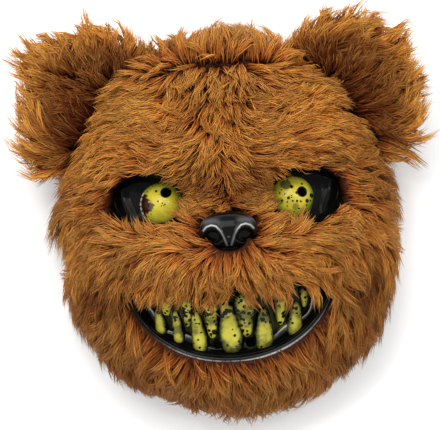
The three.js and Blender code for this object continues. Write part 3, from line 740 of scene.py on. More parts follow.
def head_flow(points, normals, rows):
    """The way the head's pile is brushed, weaker where it parts so that the pile stands up there"""
    table = np.array(rows, float)
    heads = np.radians(table[:, 2])
    ways = np.stack([np.cos(heads), np.sin(heads)], -1)
    gap = points[:, None, :2] / MM - table[None, :, :2]
    weight = np.exp(-np.sum(gap * gap, -1) / (2 * 9.0**2)) + 1e-9 / (1 + np.sum(gap * gap, -1))
    way = weight @ ways
    firm = np.clip(np.linalg.norm(way, axis=1) / weight.sum(1), 0.15, 1.0)[:, None]
    flow = np.concatenate([unit(way), np.full((len(points), 1), -0.25)], 1)
    return tangent(flow, normals) * firm


def whorl(points):
    """A slow turn of the brushed way from place to place, in radians"""
    x, y, z = (points / MM).T
    slow = 0.28 * np.sin(x / 13 + 1.7 * np.sin(y / 19)) + 0.24 * np.sin(y / 11 + x / 27 + z / 9)
    return slow + 0.2 * np.sin((x + y) / 6.5) * np.sin((x - 1.3 * y) / 7.5)


def comb(tree, roots, normals, flow, reach, lift, rng, steps=6, stiff=0.55, wild=0.2):
    """Centre lines of locks that leave the backing at a slant and then follow the brushed way"""
    count = len(roots)
    swing = whorl(roots) + rng.normal(0, wild, count)
    curl = rng.normal(0, 0.5, count)
    brushed = turned(flow(roots, normals), normals, swing)
    here = roots - 1.0 * MM * normals - 2.2 * MM * brushed
    heading = unit(brushed + 0.8 * normals)
    line = [here]
    for step in range(1, steps + 1):
        foot, up = nearest(tree, here)
        way = turned(flow(foot, up), up, swing + curl * step / steps)
        rise = dot(here - foot, up)
        press = np.clip(1 - rise / lift[:, None], -1.0, 1.0)
        aim = unit(way + 0.55 * press * up)
        heading = unit(stiff * heading + (1 - stiff) * aim)
        here = here + heading * (reach / steps)[:, None]
        line.append(here)
    return np.stack(line, 1)


def along_line(line, share):
    """Points of each centre line at shares of its length, one row of shares a line"""
    steps = line.shape[1] - 1
    at = np.clip(share, 0, 1) * steps
    low = np.minimum(at.astype(int), steps - 1)
    rows = np.arange(len(line))[:, None]
    part = (at - low)[..., None]
    return line[rows, low] * (1 - part) + line[rows, low + 1] * part


# Share of the hairs that are short and dark, and where the four places of a hair lie along it
UNDERCOAT = 0.2
SHARES = np.array([0.0, 0.3, 0.68, 1.0])
THICKNESS = np.array([1.0, 0.72])


def hair_mesh(name, centre, up, width, tone, dark):
    """One mesh of closed three-sided hairs, pointed at both ends. centre holds four places for each hair"""
    count = len(centre)
    ahead = unit(np.gradient(centre, axis=1))
    across = unit(np.cross(ahead, up))
    out = np.cross(across, ahead)
    half = (0.5 * width[:, None] * THICKNESS)[..., None]
    body = centre[:, 1:3]
    corners = np.stack(
        [body - across[:, 1:3] * half, body + across[:, 1:3] * half, body + out[:, 1:3] * half * 0.8], 2
    )
    points = np.concatenate([corners.reshape(count, 6, 3), centre[:, :1], centre[:, -1:]], 1)
    points[..., 2] = np.maximum(points[..., 2], 0.6 * MM)
    root, tip = 6, 7
    faces = []
    for side in range(3):
        after = (side + 1) % 3
        faces += [(root, side, after), (side, side + 3, after + 3, after), (side + 3, tip, after + 3)]
    pattern = np.array([i for face in faces for i in face])
    loops = (np.arange(count)[:, None] * 8 + pattern).ravel()
    totals = np.tile([len(face) for face in faces], count)
    mesh = bpy.data.meshes.new(name)
    mesh.vertices.add(count * 8)
    mesh.vertices.foreach_set("co", points.astype(np.float32).ravel())
    mesh.loops.add(len(loops))
    mesh.loops.foreach_set("vertex_index", loops.astype(np.int32))
    mesh.polygons.add(len(totals))
    mesh.polygons.foreach_set("loop_start", (np.cumsum(totals) - totals).astype(np.int32))
    mesh.update(calc_edges=True)
    share_of = np.array([*[SHARES[1]] * 3, *[SHARES[2]] * 3, 0.0, 1.0])[pattern]
    uv = np.stack([np.repeat(tone, len(pattern)), np.tile(share_of, count)], -1)
    mesh.uv_layers.new(name="strand").data.foreach_set("uv", uv.astype(np.float32).ravel())
    paint_attribute(mesh, "shade", np.repeat(dark, 8))
    mesh.validate()
    return mesh


def grow_hairs(name, tree, surface, flow, reach_of, lift, count, seed, weight, dark):
    """Pile on a surface: locks first, and then hairs that gather a little to the nearest lock's tip"""
    pile = bpy.context.scene.mask_pile
    rng = np.random.default_rng(seed)
    points, corners = surface
    locks = max(40, int(surface_area(surface, weight) / pile.lock_spacing**2))
    roots, normals = scatter(points, corners, locks, rng, weight)
    reach = reach_of(roots)
    long = reach / pile.reach
    high = lift * np.maximum(long, long**2) * rng.uniform(0.4, 1.5, locks)
    line = comb(tree, roots, normals, flow, reach * rng.uniform(0.72, 1.12, locks), high, rng)
    lock_tone = rng.uniform(0.05, 0.95, locks)
    hair_roots, hair_normals = scatter(points, corners, count, rng, weight)
    finder = KDTree(locks)
    for i, root in enumerate(roots):
        finder.insert(root, i)
    finder.balance()
    own = np.array([finder.find(p)[1] for p in hair_roots])
    short = rng.random(count) < UNDERCOAT
    share = SHARES * np.where(short, rng.uniform(0.3, 0.55, count), rng.uniform(0.65, 1.1, count))[:, None]
    centre = along_line(line[own], share)
    away = hair_roots - roots[own]
    gather = np.clip(rng.normal(0.5, 0.25, count), 0.0, 0.95) * ~short
    spread = 1 - gather[:, None] * SHARES**0.9
    centre = centre + away[:, None, :] * spread[..., None]
    side = unit(np.cross(hair_normals, line[own, -1] - line[own, 0]))
    phase = rng.uniform(0, 2 * math.pi, count)[:, None]
    wave = rng.normal(0, 1.1 * MM, count)[:, None] * np.sin(SHARES * 5 + phase) * SHARES
    stray = rng.normal(0, 1.0 * MM, count)[:, None] * SHARES
    centre = centre + side[:, None, :] * (wave + stray)[..., None]
    float_up = np.where(short, -0.8 * MM, rng.uniform(-0.8 * MM, 1.8 * MM, count))[:, None] * SHARES
    centre = centre + hair_normals[:, None, :] * float_up[..., None]
    up = np.repeat(hair_normals[:, None, :], len(SHARES), 1)
    tone = lock_tone[own] * 0.5 + 0.25 + rng.normal(0, 0.24, count)
    # Painted shade at each hair's root from the dark function, made a little uneven from hair to hair below;
    # below 0 it brightens the hair's tone to gold instead
    shade = dark(hair_roots)
    tone = np.clip(np.where(short, 0.5 * tone, tone) - 0.45 * np.minimum(shade, 0), 0, 1)
    width = pile.hair_width * rng.uniform(0.5, 1.15, count)
    shade = np.clip(shade * rng.uniform(0.7, 1.15, count), 0, 1)
    return hair_mesh(name, centre, up, width, tone, shade)


def head_shade(points):
    """How dark the painted shade makes the pile in partings, creases and hollows, and how golden it is
    elsewhere, from 1 to -1
    """
    dark, gold = np.zeros(len(points)), np.zeros(len(points))
    for x, y, radius, amount in SHADES:
        gap = np.hypot(points[:, 0] / MM - x, points[:, 1] / MM - y) / radius
        change = amount * np.exp(-gap * gap)
        dark, gold = np.maximum(dark, change), np.minimum(gold, change)
    return dark + gold


def ear_matrix(ears, side):
    outward = math.atan2(ears.up, side * ears.across)
    turn = Matrix.Rotation(outward, 4, "Z") @ Matrix.Rotation(-ears.tilt, 4, "Y")
    return Matrix.Translation((side * ears.across, ears.up, ears.height)) @ turn


def join_to(mesh, other, material=1):
    """Adds another mesh to a mesh, by default as its second material"""
    bm = bmesh.new()
    bm.from_mesh(mesh)
    first = len(bm.faces)
    bm.from_mesh(other)
    bm.faces.ensure_lookup_table()
    for face in bm.faces[first:]:
        face.material_index = material
    bm.to_mesh(mesh)
    bm.free()
    bpy.data.meshes.remove(other)
    return mesh


# Hairs on each panel, and the seed of its random draws
PANEL_HAIRS = {
    "fur_crown": (8000, 11),
    "fur_forehead": (15000, 12),
    "fur_cheek_left": (6000, 13),
    "fur_cheek_right": (6000, 14),
    "fur_muzzle": (7000, 15),
    "fur_chin": (14000, 16),
}
EAR_HAIRS = 6200


class MASK_OT_head_fur(bpy.types.Operator):
    """Covers the head with its six panels of plush and their pile"""

    bl_idname = "mask.head_fur"
    bl_label = "Plush of the head"

    def execute(self, context):
        scene = context.scene
        head, face, pile = Head(scene.mask_head), scene.mask_face, scene.mask_pile
        ears = scene.mask_ears
        bm, along, angle = head_sheet(head, 112, 56)
        set_coordinates(bm, head.point(along, angle))
        bmesh.ops.recalc_face_normals(bm, faces=bm.faces)
        tree = BVHTree.FromBMesh(bm)
        ear_turns = [ear_matrix(ears, side).inverted() for side in (-1, 1)]
        fur, under = fur_material(scene.mask_finish), backing_material(scene.mask_finish)

        def under_ear(points):
            hidden = np.zeros(len(points), bool)
            for turn in ear_turns:
                local = points @ np.array(turn.to_3x3()).T + np.array(turn.translation)
                radius = np.hypot(local[:, 0], local[:, 1])
                hidden |= (radius < ears.radius - 3 * MM) & (np.abs(local[:, 2] + 0.3 * ears.cup) < 12 * MM)
            return hidden

        for name, outline in panel_outlines().items():
            panel = bm.copy()
            centres = np.array([f.calc_center_median() for f in panel.faces])
            shown = inside(outline, centres[:, 0], centres[:, 1])
            shown &= ~in_opening(face, centres[:, 0], centres[:, 1]) | (centres[:, 2] < 0.03)
            shown &= centres[:, 2] > 1.2 * MM
            dropped = [f for f, kept in zip(panel.faces, shown) if not kept]
            bmesh.ops.delete(panel, geom=dropped, context="FACES")
            surface = triangles_of(panel)

            def weight(middle, normal):
                rim = np.where(middle[:, 2] < 0.012, 0.4, 1.0)
                return rim * np.where(under_ear(middle), 0.02, 1.0)

            count, seed = PANEL_HAIRS[name]
            rows = brushed_rows(name == "fur_crown")

            def flow(points, normals):
                return head_flow(points, normals, rows)

            def reach(roots):
                return head_reach(face, pile, roots)

            hairs = grow_hairs(
                name + "_pile", tree, surface, flow, reach, pile.lift, count, seed, weight, head_shade
            )
            bmesh.ops.solidify(panel, geom=panel.faces[:], thickness=0.9 * scene.mask_head.plush_wall)
            skin = bpy.data.meshes.new("skin")
            panel.to_mesh(skin)
            panel.free()
            join_to(hairs, skin)
            add_piece(name + "_pile", hairs, [fur, under], "plush", name)
        bm.free()
        return {"FINISHED"}


def head_reach(face, pile, roots):
    """Length of the pile: shorter round the nose and the eyes, and changed as the table of lengths says"""
    x, y = roots[:, 0] / MM, roots[:, 1] / MM
    near_nose = np.exp(-((x / 23) ** 2) - ((y - 3) / 15) ** 2)
    eye_x, eye_y = face.eye_offset / MM, face.eye_up / MM
    near_eye = np.exp(-(((np.abs(x) - eye_x - 2) / 30) ** 4) - ((y - eye_y - 2) / 23) ** 4)
    shorter = np.maximum(0.5 * near_nose, 0.58 * near_eye)
    return pile.reach * (1 - shorter + table_change(LENGTHS, roots))


def table_change(table, points):
    """Sum of a table's changes at each point; its rows give x, y, radius and share"""
    change = np.zeros(len(points))
    for x, y, radius, share in table:
        gap = np.hypot(points[:, 0] / MM - x, points[:, 1] / MM - y) / radius
        change += share * np.exp(-gap * gap)
    return change


class MASK_OT_ears(bpy.types.Operator):
    """Makes the two cupped ears and their pile"""

    bl_idname = "mask.ears"
    bl_label = "Ears"

    def execute(self, context):
        scene = context.scene
        ears, pile, head = scene.mask_ears, scene.mask_pile, Head(scene.mask_head)
        fur, under = fur_material(scene.mask_finish), backing_material(scene.mask_finish)
        for side, name, seed in ((-1, "ear_left", 31), (1, "ear_right", 32)):
            turn = ear_matrix(ears, side)
            bm = bmesh.new()
            bmesh.ops.create_uvsphere(bm, u_segments=48, v_segments=28, radius=1.0)
            for v in bm.verts:
                share = math.hypot(v.co.x, v.co.y)
                thick = math.copysign(math.sqrt(abs(v.co.z)), v.co.z) * ears.wall / 2
                v.co.x *= ears.radius
                v.co.y *= ears.radius
                v.co.z = thick - ears.cup * (1 - share * share)
            bmesh.ops.transform(bm, matrix=turn, verts=bm.verts)
            tree = BVHTree.FromBMesh(bm)
            flat = turn.to_3x3()
            foot = np.array(turn @ Vector((-0.75 * ears.radius, side * 0.12 * ears.radius, -0.5 * ears.cup)))
            outer = bm.copy()
            sunk = []
            for v in outer.verts:
                x, y, z = v.co
                if z < float(head.height(np.array(x), np.array(y))) and math.hypot(x, y) < float(
                    head.outline(np.array(math.atan2(y, x)))
                ):
                    sunk.append(v)
            bmesh.ops.delete(outer, geom=sunk, context="VERTS")
            surface = triangles_of(outer)
            outer.free()
            facing = np.array(flat @ Vector((0, 0, 1)))

            def flow(points, normals):
                return tangent(points - foot, normals)

            middle_of_ear = np.array(turn.translation)

            def weight(middle, normal):
                return np.where(normal @ facing > -0.2, 1.0, 0.35) * (1 + table_change(EAR_LENGTHS, middle))

            # Painted shade on the ear's pile: darkest deep in the cup by the head, less towards the middle, and
            # brightened to gold at the rim
            def dark(points):
                gap = np.linalg.norm(points - foot, axis=1) / ears.radius
                out = np.linalg.norm(points - middle_of_ear, axis=1) / ears.radius
                rim = smooth_step(0.7, 1.0, out) * smooth_step(0.8, 1.4, gap)
                cup = 1.0 - 0.5 * smooth_step(0.6, 1.6, gap)
                return cup * (1 - rim) - 0.75 * rim

            def reach(roots):
                return pile.ear_reach * (0.95 + table_change(EAR_LENGTHS, roots))

            hairs = grow_hairs(
                name + "_pile", tree, surface, flow, reach, pile.lift, EAR_HAIRS, seed, weight, dark
            )
            skin = bpy.data.meshes.new("skin")
            bm.to_mesh(skin)
            bm.free()
            join_to(hairs, skin)
            add_piece(name + "_pile", hairs, [fur, under], "plush", name)
        return {"FINISHED"}


class MASK_OT_shell(bpy.types.Operator):
    """Forms the black sheet with its sockets and the mouth's recess"""

    bl_idname = "mask.shell"
    bl_label = "Formed shell"

    def execute(self, context):
        scene = context.scene
        head, face = Head(scene.mask_head), scene.mask_face
        top = scene.mask_head.plush_wall + 0.3 * MM
        bm, along, angle = head_sheet(head, 150, 88)
        sheet = head.point(along, angle) - head.normal(along, angle) * top
        sheet[along >= 0.999, 2] = 0.0
        set_coordinates(bm, sheet)
        fine = []
        for edge in bm.edges:
            x, y = (np.array([v.co[i] for v in edge.verts]) for i in (0, 1))
            near = np.minimum(socket_share(face, -1, x, y), socket_share(face, 1, x, y)).min() < 1.2
            if (near or mouth_share(face, x, y).min() < 1.12) and edge.verts[0].co.z > 0.03:
                fine.append(edge)
        bmesh.ops.subdivide_edges(bm, edges=fine, cuts=1, use_grid_fill=True)
        points = np.array([v.co for v in bm.verts])
        x, y = points[:, 0].copy(), points[:, 1].copy()
        front = points[:, 2] > 0.025
        sink = np.zeros(len(points))
        for side in (-1, 1):
            share = socket_share(face, side, x, y)
            wall = 1 - smooth_step(0.86, 1.0, share)
            out = side * (x - side * face.eye_offset) / face.eye_radius
            crease = 0.7 * MM * np.sin(out * 7.0 + 1.5 * np.sin(y / MM / 5)) * smooth_step(1.0, 1.3, out)
            sink += wall * (face.socket_depth + crease)
        ripple = 0.5 * MM * np.sin(x / MM * 1.05 + 0.6 * np.sin(y / MM / 4))
        sink += (1 - smooth_step(0.9, 1.0, mouth_share(face, x, y))) * (face.mouth_depth + ripple)
        points[:, 2] -= np.where(front, sink, 0.0)
        set_coordinates(bm, points)
        holes = []
        for side in (-1, 1):
            near = [
                f for f in bm.faces
                if (f.calc_center_median().xy - Vector((side * face.eye_offset, face.eye_up))).length
                < face.eye_radius - 3 * MM
                and f.calc_center_median().z > 0.03
            ]
            holes += near
        bmesh.ops.delete(bm, geom=holes, context="FACES")
        bmesh.ops.recalc_face_normals(bm, faces=bm.faces)
        bmesh.ops.solidify(bm, geom=bm.faces[:], thickness=scene.mask_head.shell_wall)
        mesh = bpy.data.meshes.new("face_shell_formed")
        bm.to_mesh(mesh)
        bm.free()
        mesh = cut(mesh, breathing_holes(face))
        spots = coordinates(mesh)
        in_mouth = 1 - smooth_step(0.6, 0.98, mouth_share(face, spots[:, 0], spots[:, 1]))
        paint_attribute(mesh, "green", in_mouth * (spots[:, 2] > 30 * MM))
        material = plastic_material("shell_plastic", scene.mask_finish, 0.06)
        add_piece("face_shell_formed", mesh, material, "shell_plastic", "face_shell")
        return {"FINISHED"}


def breathing_holes(face, grow=0.0):
    """Two upright rods where the breathing holes go"""
    bm = bmesh.new()
    y = -face.mouth_low - face.mouth_drop + face.gum_band / 2 + face.hole_radius
    for side in (-1, 1):
        bmesh.ops.create_cone(
            bm, cap_ends=True, segments=40, radius1=face.hole_radius + grow, radius2=face.hole_radius + grow,
            depth=0.2, matrix=Matrix.Translation((side * face.hole_offset, y, 0.05)),
        )
    return bm


class MASK_OT_eyes(bpy.types.Operator):
    """Makes the two painted domes with their pupils"""

    bl_idname = "mask.eyes"
    bl_label = "Eyes"

    def execute(self, context):
        scene = context.scene
        head, face = Head(scene.mask_head), scene.mask_face
        material = eye_material("eye_paint", scene.mask_finish)
        for side, name, across, up, spots in (
            (-1, "eye_left", 0.27, 0.46, LEFT_SPOTS),
            (1, "eye_right", 0.4, 0.19, RIGHT_SPOTS),
        ):
            radius, rise = face.eye_radius, face.eye_rise
            ball = (radius**2 + rise**2) / (2 * rise)
            pupil = Vector((across * radius, up * radius))
            bm = bmesh.new()
            rings = 40
            made = bmesh.ops.create_circle(bm, cap_ends=False, radius=1.0, segments=120)
            edges = bm.edges[:]
            circle = made["verts"]
            ways = [v.co.xy.copy() for v in circle]

            def dome(at):
                return math.sqrt(max(0.0, ball**2 - at.length_squared)) - ball + rise

            def settle(verts, share):
                for v, way in zip(verts, ways):
                    at = (pupil + way * face.pupil_radius).lerp(way * radius, share)
                    v.co = (at.x, at.y, dome(at))

            settle(circle, 0.0)
            verts = circle
            for ring in range(1, rings + 1):
                out = bmesh.ops.extrude_edge_only(bm, edges=edges)["geom"]
                edges = [g for g in out if isinstance(g, bmesh.types.BMEdge)]
                new = [g for g in out if isinstance(g, bmesh.types.BMVert)]
                order = {}
                for v in new:
                    for e in v.link_edges:
                        other = e.other_vert(v)
                        if other not in new:
                            order[other] = v
                verts = [order[v] for v in verts]
                settle(verts, ring / rings)
            bmesh.ops.recalc_face_normals(bm, faces=bm.faces)
            if sum(f.normal.z for f in bm.faces) < 0:
                bmesh.ops.reverse_faces(bm, faces=bm.faces)
            bmesh.ops.solidify(bm, geom=bm.faces[:], thickness=scene.mask_head.shell_wall * 0.7)
            bm.verts.ensure_lookup_table()
            flat = np.array([v.co for v in bm.verts])
            turn = eye_frame(head, face, side) @ Matrix.Translation((0, 0, 0.3 * MM - face.socket_depth))
            bmesh.ops.transform(bm, matrix=turn, verts=bm.verts)
            mesh = bpy.data.meshes.new(name)
            bm.to_mesh(mesh)
            bm.free()
            x, y = flat[:, 0] / MM, flat[:, 1] / MM
            spot = np.zeros(len(flat))
            for sx, sy, sr in spots:
                spot = np.maximum(spot, 1 - smooth_step(sr * 0.85, sr * 1.15, np.hypot(x - sx, y - sy)))
            px, py = pupil / MM
            spot = np.maximum(spot, 1 - smooth_step(3.1, 3.5, np.hypot(x - px, y - py)))
            stain, olive, white = np.zeros(len(flat)), np.zeros(len(flat)), np.zeros(len(flat))
            if side < 0:
                wobble = 0.12 * np.sin(1.9 * y) + 0.1 * np.sin(3.1 * y + 1.3 * x)
                stain = 1 - smooth_step(0.85, 1.0, np.hypot((x + 9.8) / 3.6, (y + 0.5) / 7.5) + wobble)
                olive = 1 - smooth_step(0.7, 1.0, np.hypot((x + 6.2) / 3.2, (y + 1.2) / 3.2) + wobble)
                ring = np.exp(-(((np.hypot(x, y) - 12.6) / 0.45) ** 2)) * smooth_step(9.0, 10.5, -x)
                white = ring * smooth_step(-0.3, 0.3, np.sin(2.3 * y) + 0.5)
            else:
                olive = 0.9 * (1 - smooth_step(2.8, 3.5, np.hypot(x + 3.9, y - 7.4)))
                olive = np.maximum(olive, 0.6 * (1 - smooth_step(1.6, 2.6, np.hypot(x - 1.1, y + 6.1))))
                olive = np.maximum(olive, 0.6 * (1 - smooth_step(1.6, 2.4, np.hypot(x + 8.0, y + 2.5))))
            edge = np.hypot(x, y - 2.0 * (side > 0)) / (radius / MM)
            for key, values in (
                ("spot", spot), ("edge", edge), ("stain", stain), ("olive", olive), ("white", white),
            ):
                paint_attribute(mesh, key, values)
            add_piece(name + "_dome", mesh, material, "eye_paint", name)
        return {"FINISHED"}


# Raised edge over each nostril, outside to bottom middle: x and y as shares of the nose's half sizes
NOSTRIL_ARCH = (
    (0.85, 0.0), (0.74, 0.2), (0.58, 0.28), (0.42, 0.22), (0.3, 0.0), (0.18, -0.35), (0.07, -0.86),
)


def polyline_gap(x, y, points):
    """Distance from x, y to a chain of points, and the share of the chain there"""
    best = np.full(x.shape, 1e9)
    where = np.zeros(x.shape)
    for i, ((ax, ay), (bx, by)) in enumerate(zip(points[:-1], points[1:])):
        dx, dy = bx - ax, by - ay
        t = np.clip(((x - ax) * dx + (y - ay) * dy) / (dx * dx + dy * dy), 0, 1)
        gap = np.hypot(x - ax - t * dx, y - ay - t * dy)
        where = np.where(gap < best, (i + t) / (len(points) - 1), where)
        best = np.minimum(best, gap)
    return best, where


class MASK_OT_nose(bpy.types.Operator):
    """Makes the glossy nose with its nostrils and silvered arches"""

    bl_idname = "mask.nose"
    bl_label = "Nose"

    def execute(self, context):
        scene = context.scene
        head, face = Head(scene.mask_head), scene.mask_face
        seat = head.on_face(0.0, 0.0, -scene.mask_head.plush_wall)[0]
        bm = bmesh.new()
        bmesh.ops.create_uvsphere(bm, u_segments=120, v_segments=80, radius=1.0)
        low = [v for v in bm.verts if v.co.z < -0.05]
        bmesh.ops.delete(bm, geom=low, context="VERTS")
        ball = np.array([v.co for v in bm.verts])
        flat = np.hypot(ball[:, 0], ball[:, 1])
        angle = np.arctan2(ball[:, 1], ball[:, 0])
        square = (np.abs(np.cos(angle)) ** 2.5 + np.abs(np.sin(angle)) ** 2.5) ** (-1 / 2.5)
        x, y = flat * square * np.cos(angle), flat * square * np.sin(angle)
        down = -y
        x_mm = x * (1 - 0.16 * np.maximum(down, 0) + 0.1 * np.minimum(down, 0)) * face.nose_width / MM
        y_mm = y * face.nose_height / MM
        z_mm = np.sign(ball[:, 2]) * np.abs(ball[:, 2]) ** 0.8 * face.nose_rise / MM
        half_w, half_h = face.nose_width / MM, face.nose_height / MM
        arch = [(px * half_w, py * half_h) for px, py in NOSTRIL_ARCH]
        gap, where = polyline_gap(np.abs(x_mm), y_mm, arch)
        ridge = np.exp(-((gap / 1.0) ** 2))
        hollow_gap = np.hypot((np.abs(x_mm) - 0.54 * half_w) / 5.9, (y_mm + 0.36 * half_h) / 4.6)
        hollow = 1 - smooth_step(0.6, 1.0, hollow_gap)
        z_mm = z_mm + 0.7 * ridge - 6.0 * hollow
        points = np.stack([x_mm, y_mm, z_mm], -1) * MM
        points[:, 2] += seat[2]
        set_coordinates(bm, points)
        bmesh.ops.recalc_face_normals(bm, faces=bm.faces)
        if sum(f.normal.z for f in bm.faces) < 0:
            bmesh.ops.reverse_faces(bm, faces=bm.faces)
        bmesh.ops.solidify(bm, geom=bm.faces[:], thickness=scene.mask_head.shell_wall)
        mesh = bpy.data.meshes.new("nose")
        bm.to_mesh(mesh)
        bm.free()
        x_mm, y_mm = coordinates(mesh)[:, 0] / MM, coordinates(mesh)[:, 1] / MM
        gap, where = polyline_gap(np.abs(x_mm), y_mm, arch)
        # Silvery paint rubbed along the raised arches over the nostrils, and a painted highlight: top is a
        # faint grey band across the nose's upper part
        shine = np.exp(-((gap / 0.4) ** 2)) * (0.25 + 0.55 * np.sin(math.pi * np.clip(where * 1.1 + 0.1, 0, 1)))
        top = 0.1 * np.exp(-(((y_mm - 0.5 * half_h) / 1.6) ** 2)) * smooth_step(3.0, 8.0, np.abs(x_mm))
        paint_attribute(mesh, "wear_and_highlight", np.clip(shine + top, 0, 1))
        material = plastic_material("nose_plastic", scene.mask_finish)
        add_piece("nose_cap", mesh, material, "nose_plastic", "nose")
        return {"FINISHED"}


def mouth_floor(head, face, across, down):
    """A place on the recess's floor and its normal; across and down are shares of the mouth"""
    x = -1 * MM + across * face.mouth_width
    y = -face.mouth_low - down * face.mouth_drop
    depth = head.s.plush_wall + 0.3 * MM + face.mouth_depth
    return head.under_face(x, y, depth)


def fang(bm, head, face, row, values, splashed):
    """One flat fang: a round root, nearly straight sides and a blunt tip. The numbers for its paint go into
    values; splashed says that black is splashed all over it and not only on its tip"""
    root_x, root_down, tip_x, tip_down, width = row
    root, normal = mouth_floor(head, face, root_x, root_down)
    tip, _ = mouth_floor(head, face, tip_x, tip_down)
    made = bmesh.ops.create_uvsphere(bm, u_segments=28, v_segments=20, radius=1.0)["verts"]
    half_length = np.linalg.norm(tip - root) / 2
    for v in made:
        x, z, y = v.co.x, v.co.y, v.co.z
        ring = max(1e-6, math.sqrt(max(0.0, 1 - y * y)))
        cap = (1 - abs(y) ** (5 if y < 0 else 6)) ** 0.5
        broad = cap * (0.88 - 0.3 * y)
        around_x, around_z = x / ring, z / ring
        crown = max(0.0, around_z) ** 1.5 * (0.55 + 0.45 * min(1.0, (y + 1.0) * 1.5))
        black = 1.0 if splashed else float(smooth_step(0.1, 0.7, y))
        values[v] = (min(1.0, 1.1 * crown), 0.0, black)
        flat = math.copysign(abs(around_z) ** 0.7, around_z)
        v.co = (
            math.copysign(abs(around_x) ** 0.8, around_x) * broad * width * face.mouth_width / 2,
            y * half_length,
            flat * broad**0.6 * face.tooth_rise * (0.72 - 0.1 * y),
        )
    turn = along_frame(Vector((root + tip) / 2), Vector(tip - root), Vector(normal))
    bmesh.ops.transform(bm, matrix=turn, verts=made)


def gum(head, face, lower):
    """A gum's band: in waves along the mouth's lower edge, or straight under its upper edge"""
    bm = bmesh.new()
    bmesh.ops.create_grid(bm, x_segments=90, y_segments=15, size=1.0)
    values = []
    depth = head.s.plush_wall + 0.3 * MM + face.mouth_depth
    for v in bm.verts:
        s, t = v.co.x, 0.5 * (v.co.y + 1)
        if lower:
            angle = math.pi * (1.5 + 0.41 * s)
            inward = t * face.gum_band * (0.85 + 0.2 * math.sin(13 * s + 0.8))
            x = -1 * MM + (face.mouth_width - inward - 0.5 * MM) * math.cos(angle)
            y = -face.mouth_low + (face.mouth_drop - inward - 0.5 * MM) * math.sin(angle)
            swell = math.sin(math.pi * (0.1 + 0.85 * t)) ** 0.7
            # Painted highlight: a thin bright line along the lower gum's band, on both sides and not in its
            # middle
            wear_and_highlight = math.exp(-(((t - 0.8) / 0.035) ** 2)) * max(0.0, min(1.0, (abs(s) - 0.3) * 4))
        else:
            x = -1 * MM + 0.88 * face.mouth_width * s
            y = -face.mouth_low - 2.0 * MM * (1 - s * s) - t * face.gum_band * 0.45
            swell = max(0.0, math.cos(0.5 * math.pi * t)) ** 0.5
            wear_and_highlight = 0.0
        v.co = head.under_face(x, y, depth - face.gum_rise * swell)[0]
        values.append((0.14 + 0.14 * math.sin(9 * s) ** 2, wear_and_highlight, 0.0))
    bmesh.ops.recalc_face_normals(bm, faces=bm.faces)
    if sum(f.normal.z for f in bm.faces) < 0:
        bmesh.ops.reverse_faces(bm, faces=bm.faces)
    bmesh.ops.solidify(bm, geom=bm.faces[:], thickness=0.8 * MM)
    return bm, values


class MASK_OT_teeth(bpy.types.Operator):
    """Makes the two rows of fangs on their gums"""

    bl_idname = "mask.teeth"
    bl_label = "Teeth"

    def execute(self, context):
        scene = context.scene
        head, face = Head(scene.mask_head), scene.mask_face
        material = tooth_material(scene.mask_finish)
        for name, rows in (("teeth_lower", LOWER_FANGS), ("teeth_upper", UPPER_FANGS)):
            lower = name == "teeth_lower"
            bm = bmesh.new()
            values = {}
            for row in rows:
                fang(bm, head, face, row, values, not lower)
            numbers = [values[v] for v in bm.verts]
            fangs = bpy.data.meshes.new("fangs")
            bm.to_mesh(fangs)
            bm.free()
            paint_teeth(fangs, numbers)
            bm, numbers = gum(head, face, lower)
            band = bpy.data.meshes.new(name)
            bm.to_mesh(band)
            bm.free()
            paint_teeth(band, numbers)
            if lower:
                band = cut(band, breathing_holes(face, 0.3 * MM))
            join_to(band, fangs, 0)
            add_piece(name + "_row", band, material, "tooth_paint", name)
        return {"FINISHED"}


def paint_teeth(mesh, numbers):
    """Stores the crown, painted highlight and splashed numbers on a mesh's first vertices, and 0 on its back"""
    table = np.zeros((len(mesh.vertices), 3))
    table[: len(numbers)] = numbers
    for column, key in enumerate(("crown", "wear_and_highlight", "splashed")):
        paint_attribute(mesh, key, table[:, column])


class MASK_OT_lip(bpy.types.Operator):
    """Makes the bead along the lower edge of the mouth"""

    bl_idname = "mask.lip"
    bl_label = "Lip"

    def execute(self, context):
        scene = context.scene
        head, face = Head(scene.mask_head), scene.mask_face
        grow = face.lip_radius + 0.6 * MM
        curve = bpy.data.curves.new("lip", "CURVE")
        curve.dimensions = "3D"
        curve.bevel_depth = face.lip_radius
        curve.bevel_resolution = 9
        curve.use_fill_caps = True
        spline = curve.splines.new("POLY")
        count = 90
        spline.points.add(count)
        for i in range(count + 1):
            share = i / count
            angle = math.pi * (1.04 + 0.92 * share)
            x = -1 * MM + (face.mouth_width + grow) * math.cos(angle)
            y = -face.mouth_low + grow + (face.mouth_drop + 2 * grow) * math.sin(angle)
            spot, _ = head.on_face(x, y, grow - scene.mask_head.plush_wall)
            spline.points[i].co = (*spot, 1.0)
            spline.points[i].radius = 0.35 + 0.65 * math.sin(math.pi * share) ** 0.4
        maker = bpy.data.objects.new("lip_curve", curve)
        bpy.context.scene.collection.objects.link(maker)
        mesh = bpy.data.meshes.new_from_object(maker.evaluated_get(context.evaluated_depsgraph_get()))
        bpy.data.objects.remove(maker)
        x, y = coordinates(mesh)[:, 0], coordinates(mesh)[:, 1]
        across = (x + 1 * MM) / (face.mouth_width + grow)
        along = (y + face.mouth_low - grow) / (face.mouth_drop + 2 * grow)
        out = np.hypot(across, along)
        # Painted highlight: a thin bright line along the bead's outer edge, fading out towards the mouth's
        # corners, on the bead's front only
        line = 1.5 * np.exp(-(((out - 1.01) / 0.011) ** 2)) * smooth_step(0.0, 14 * MM, -y - face.mouth_low)
        paint_attribute(mesh, "wear_and_highlight", np.minimum(line, 1) * (coordinates(mesh)[:, 2] > 50 * MM))
        add_piece("lip_bead", mesh, plastic_material("lip_plastic", scene.mask_finish), "lip_plastic", "lip")
        return {"FINISHED"}


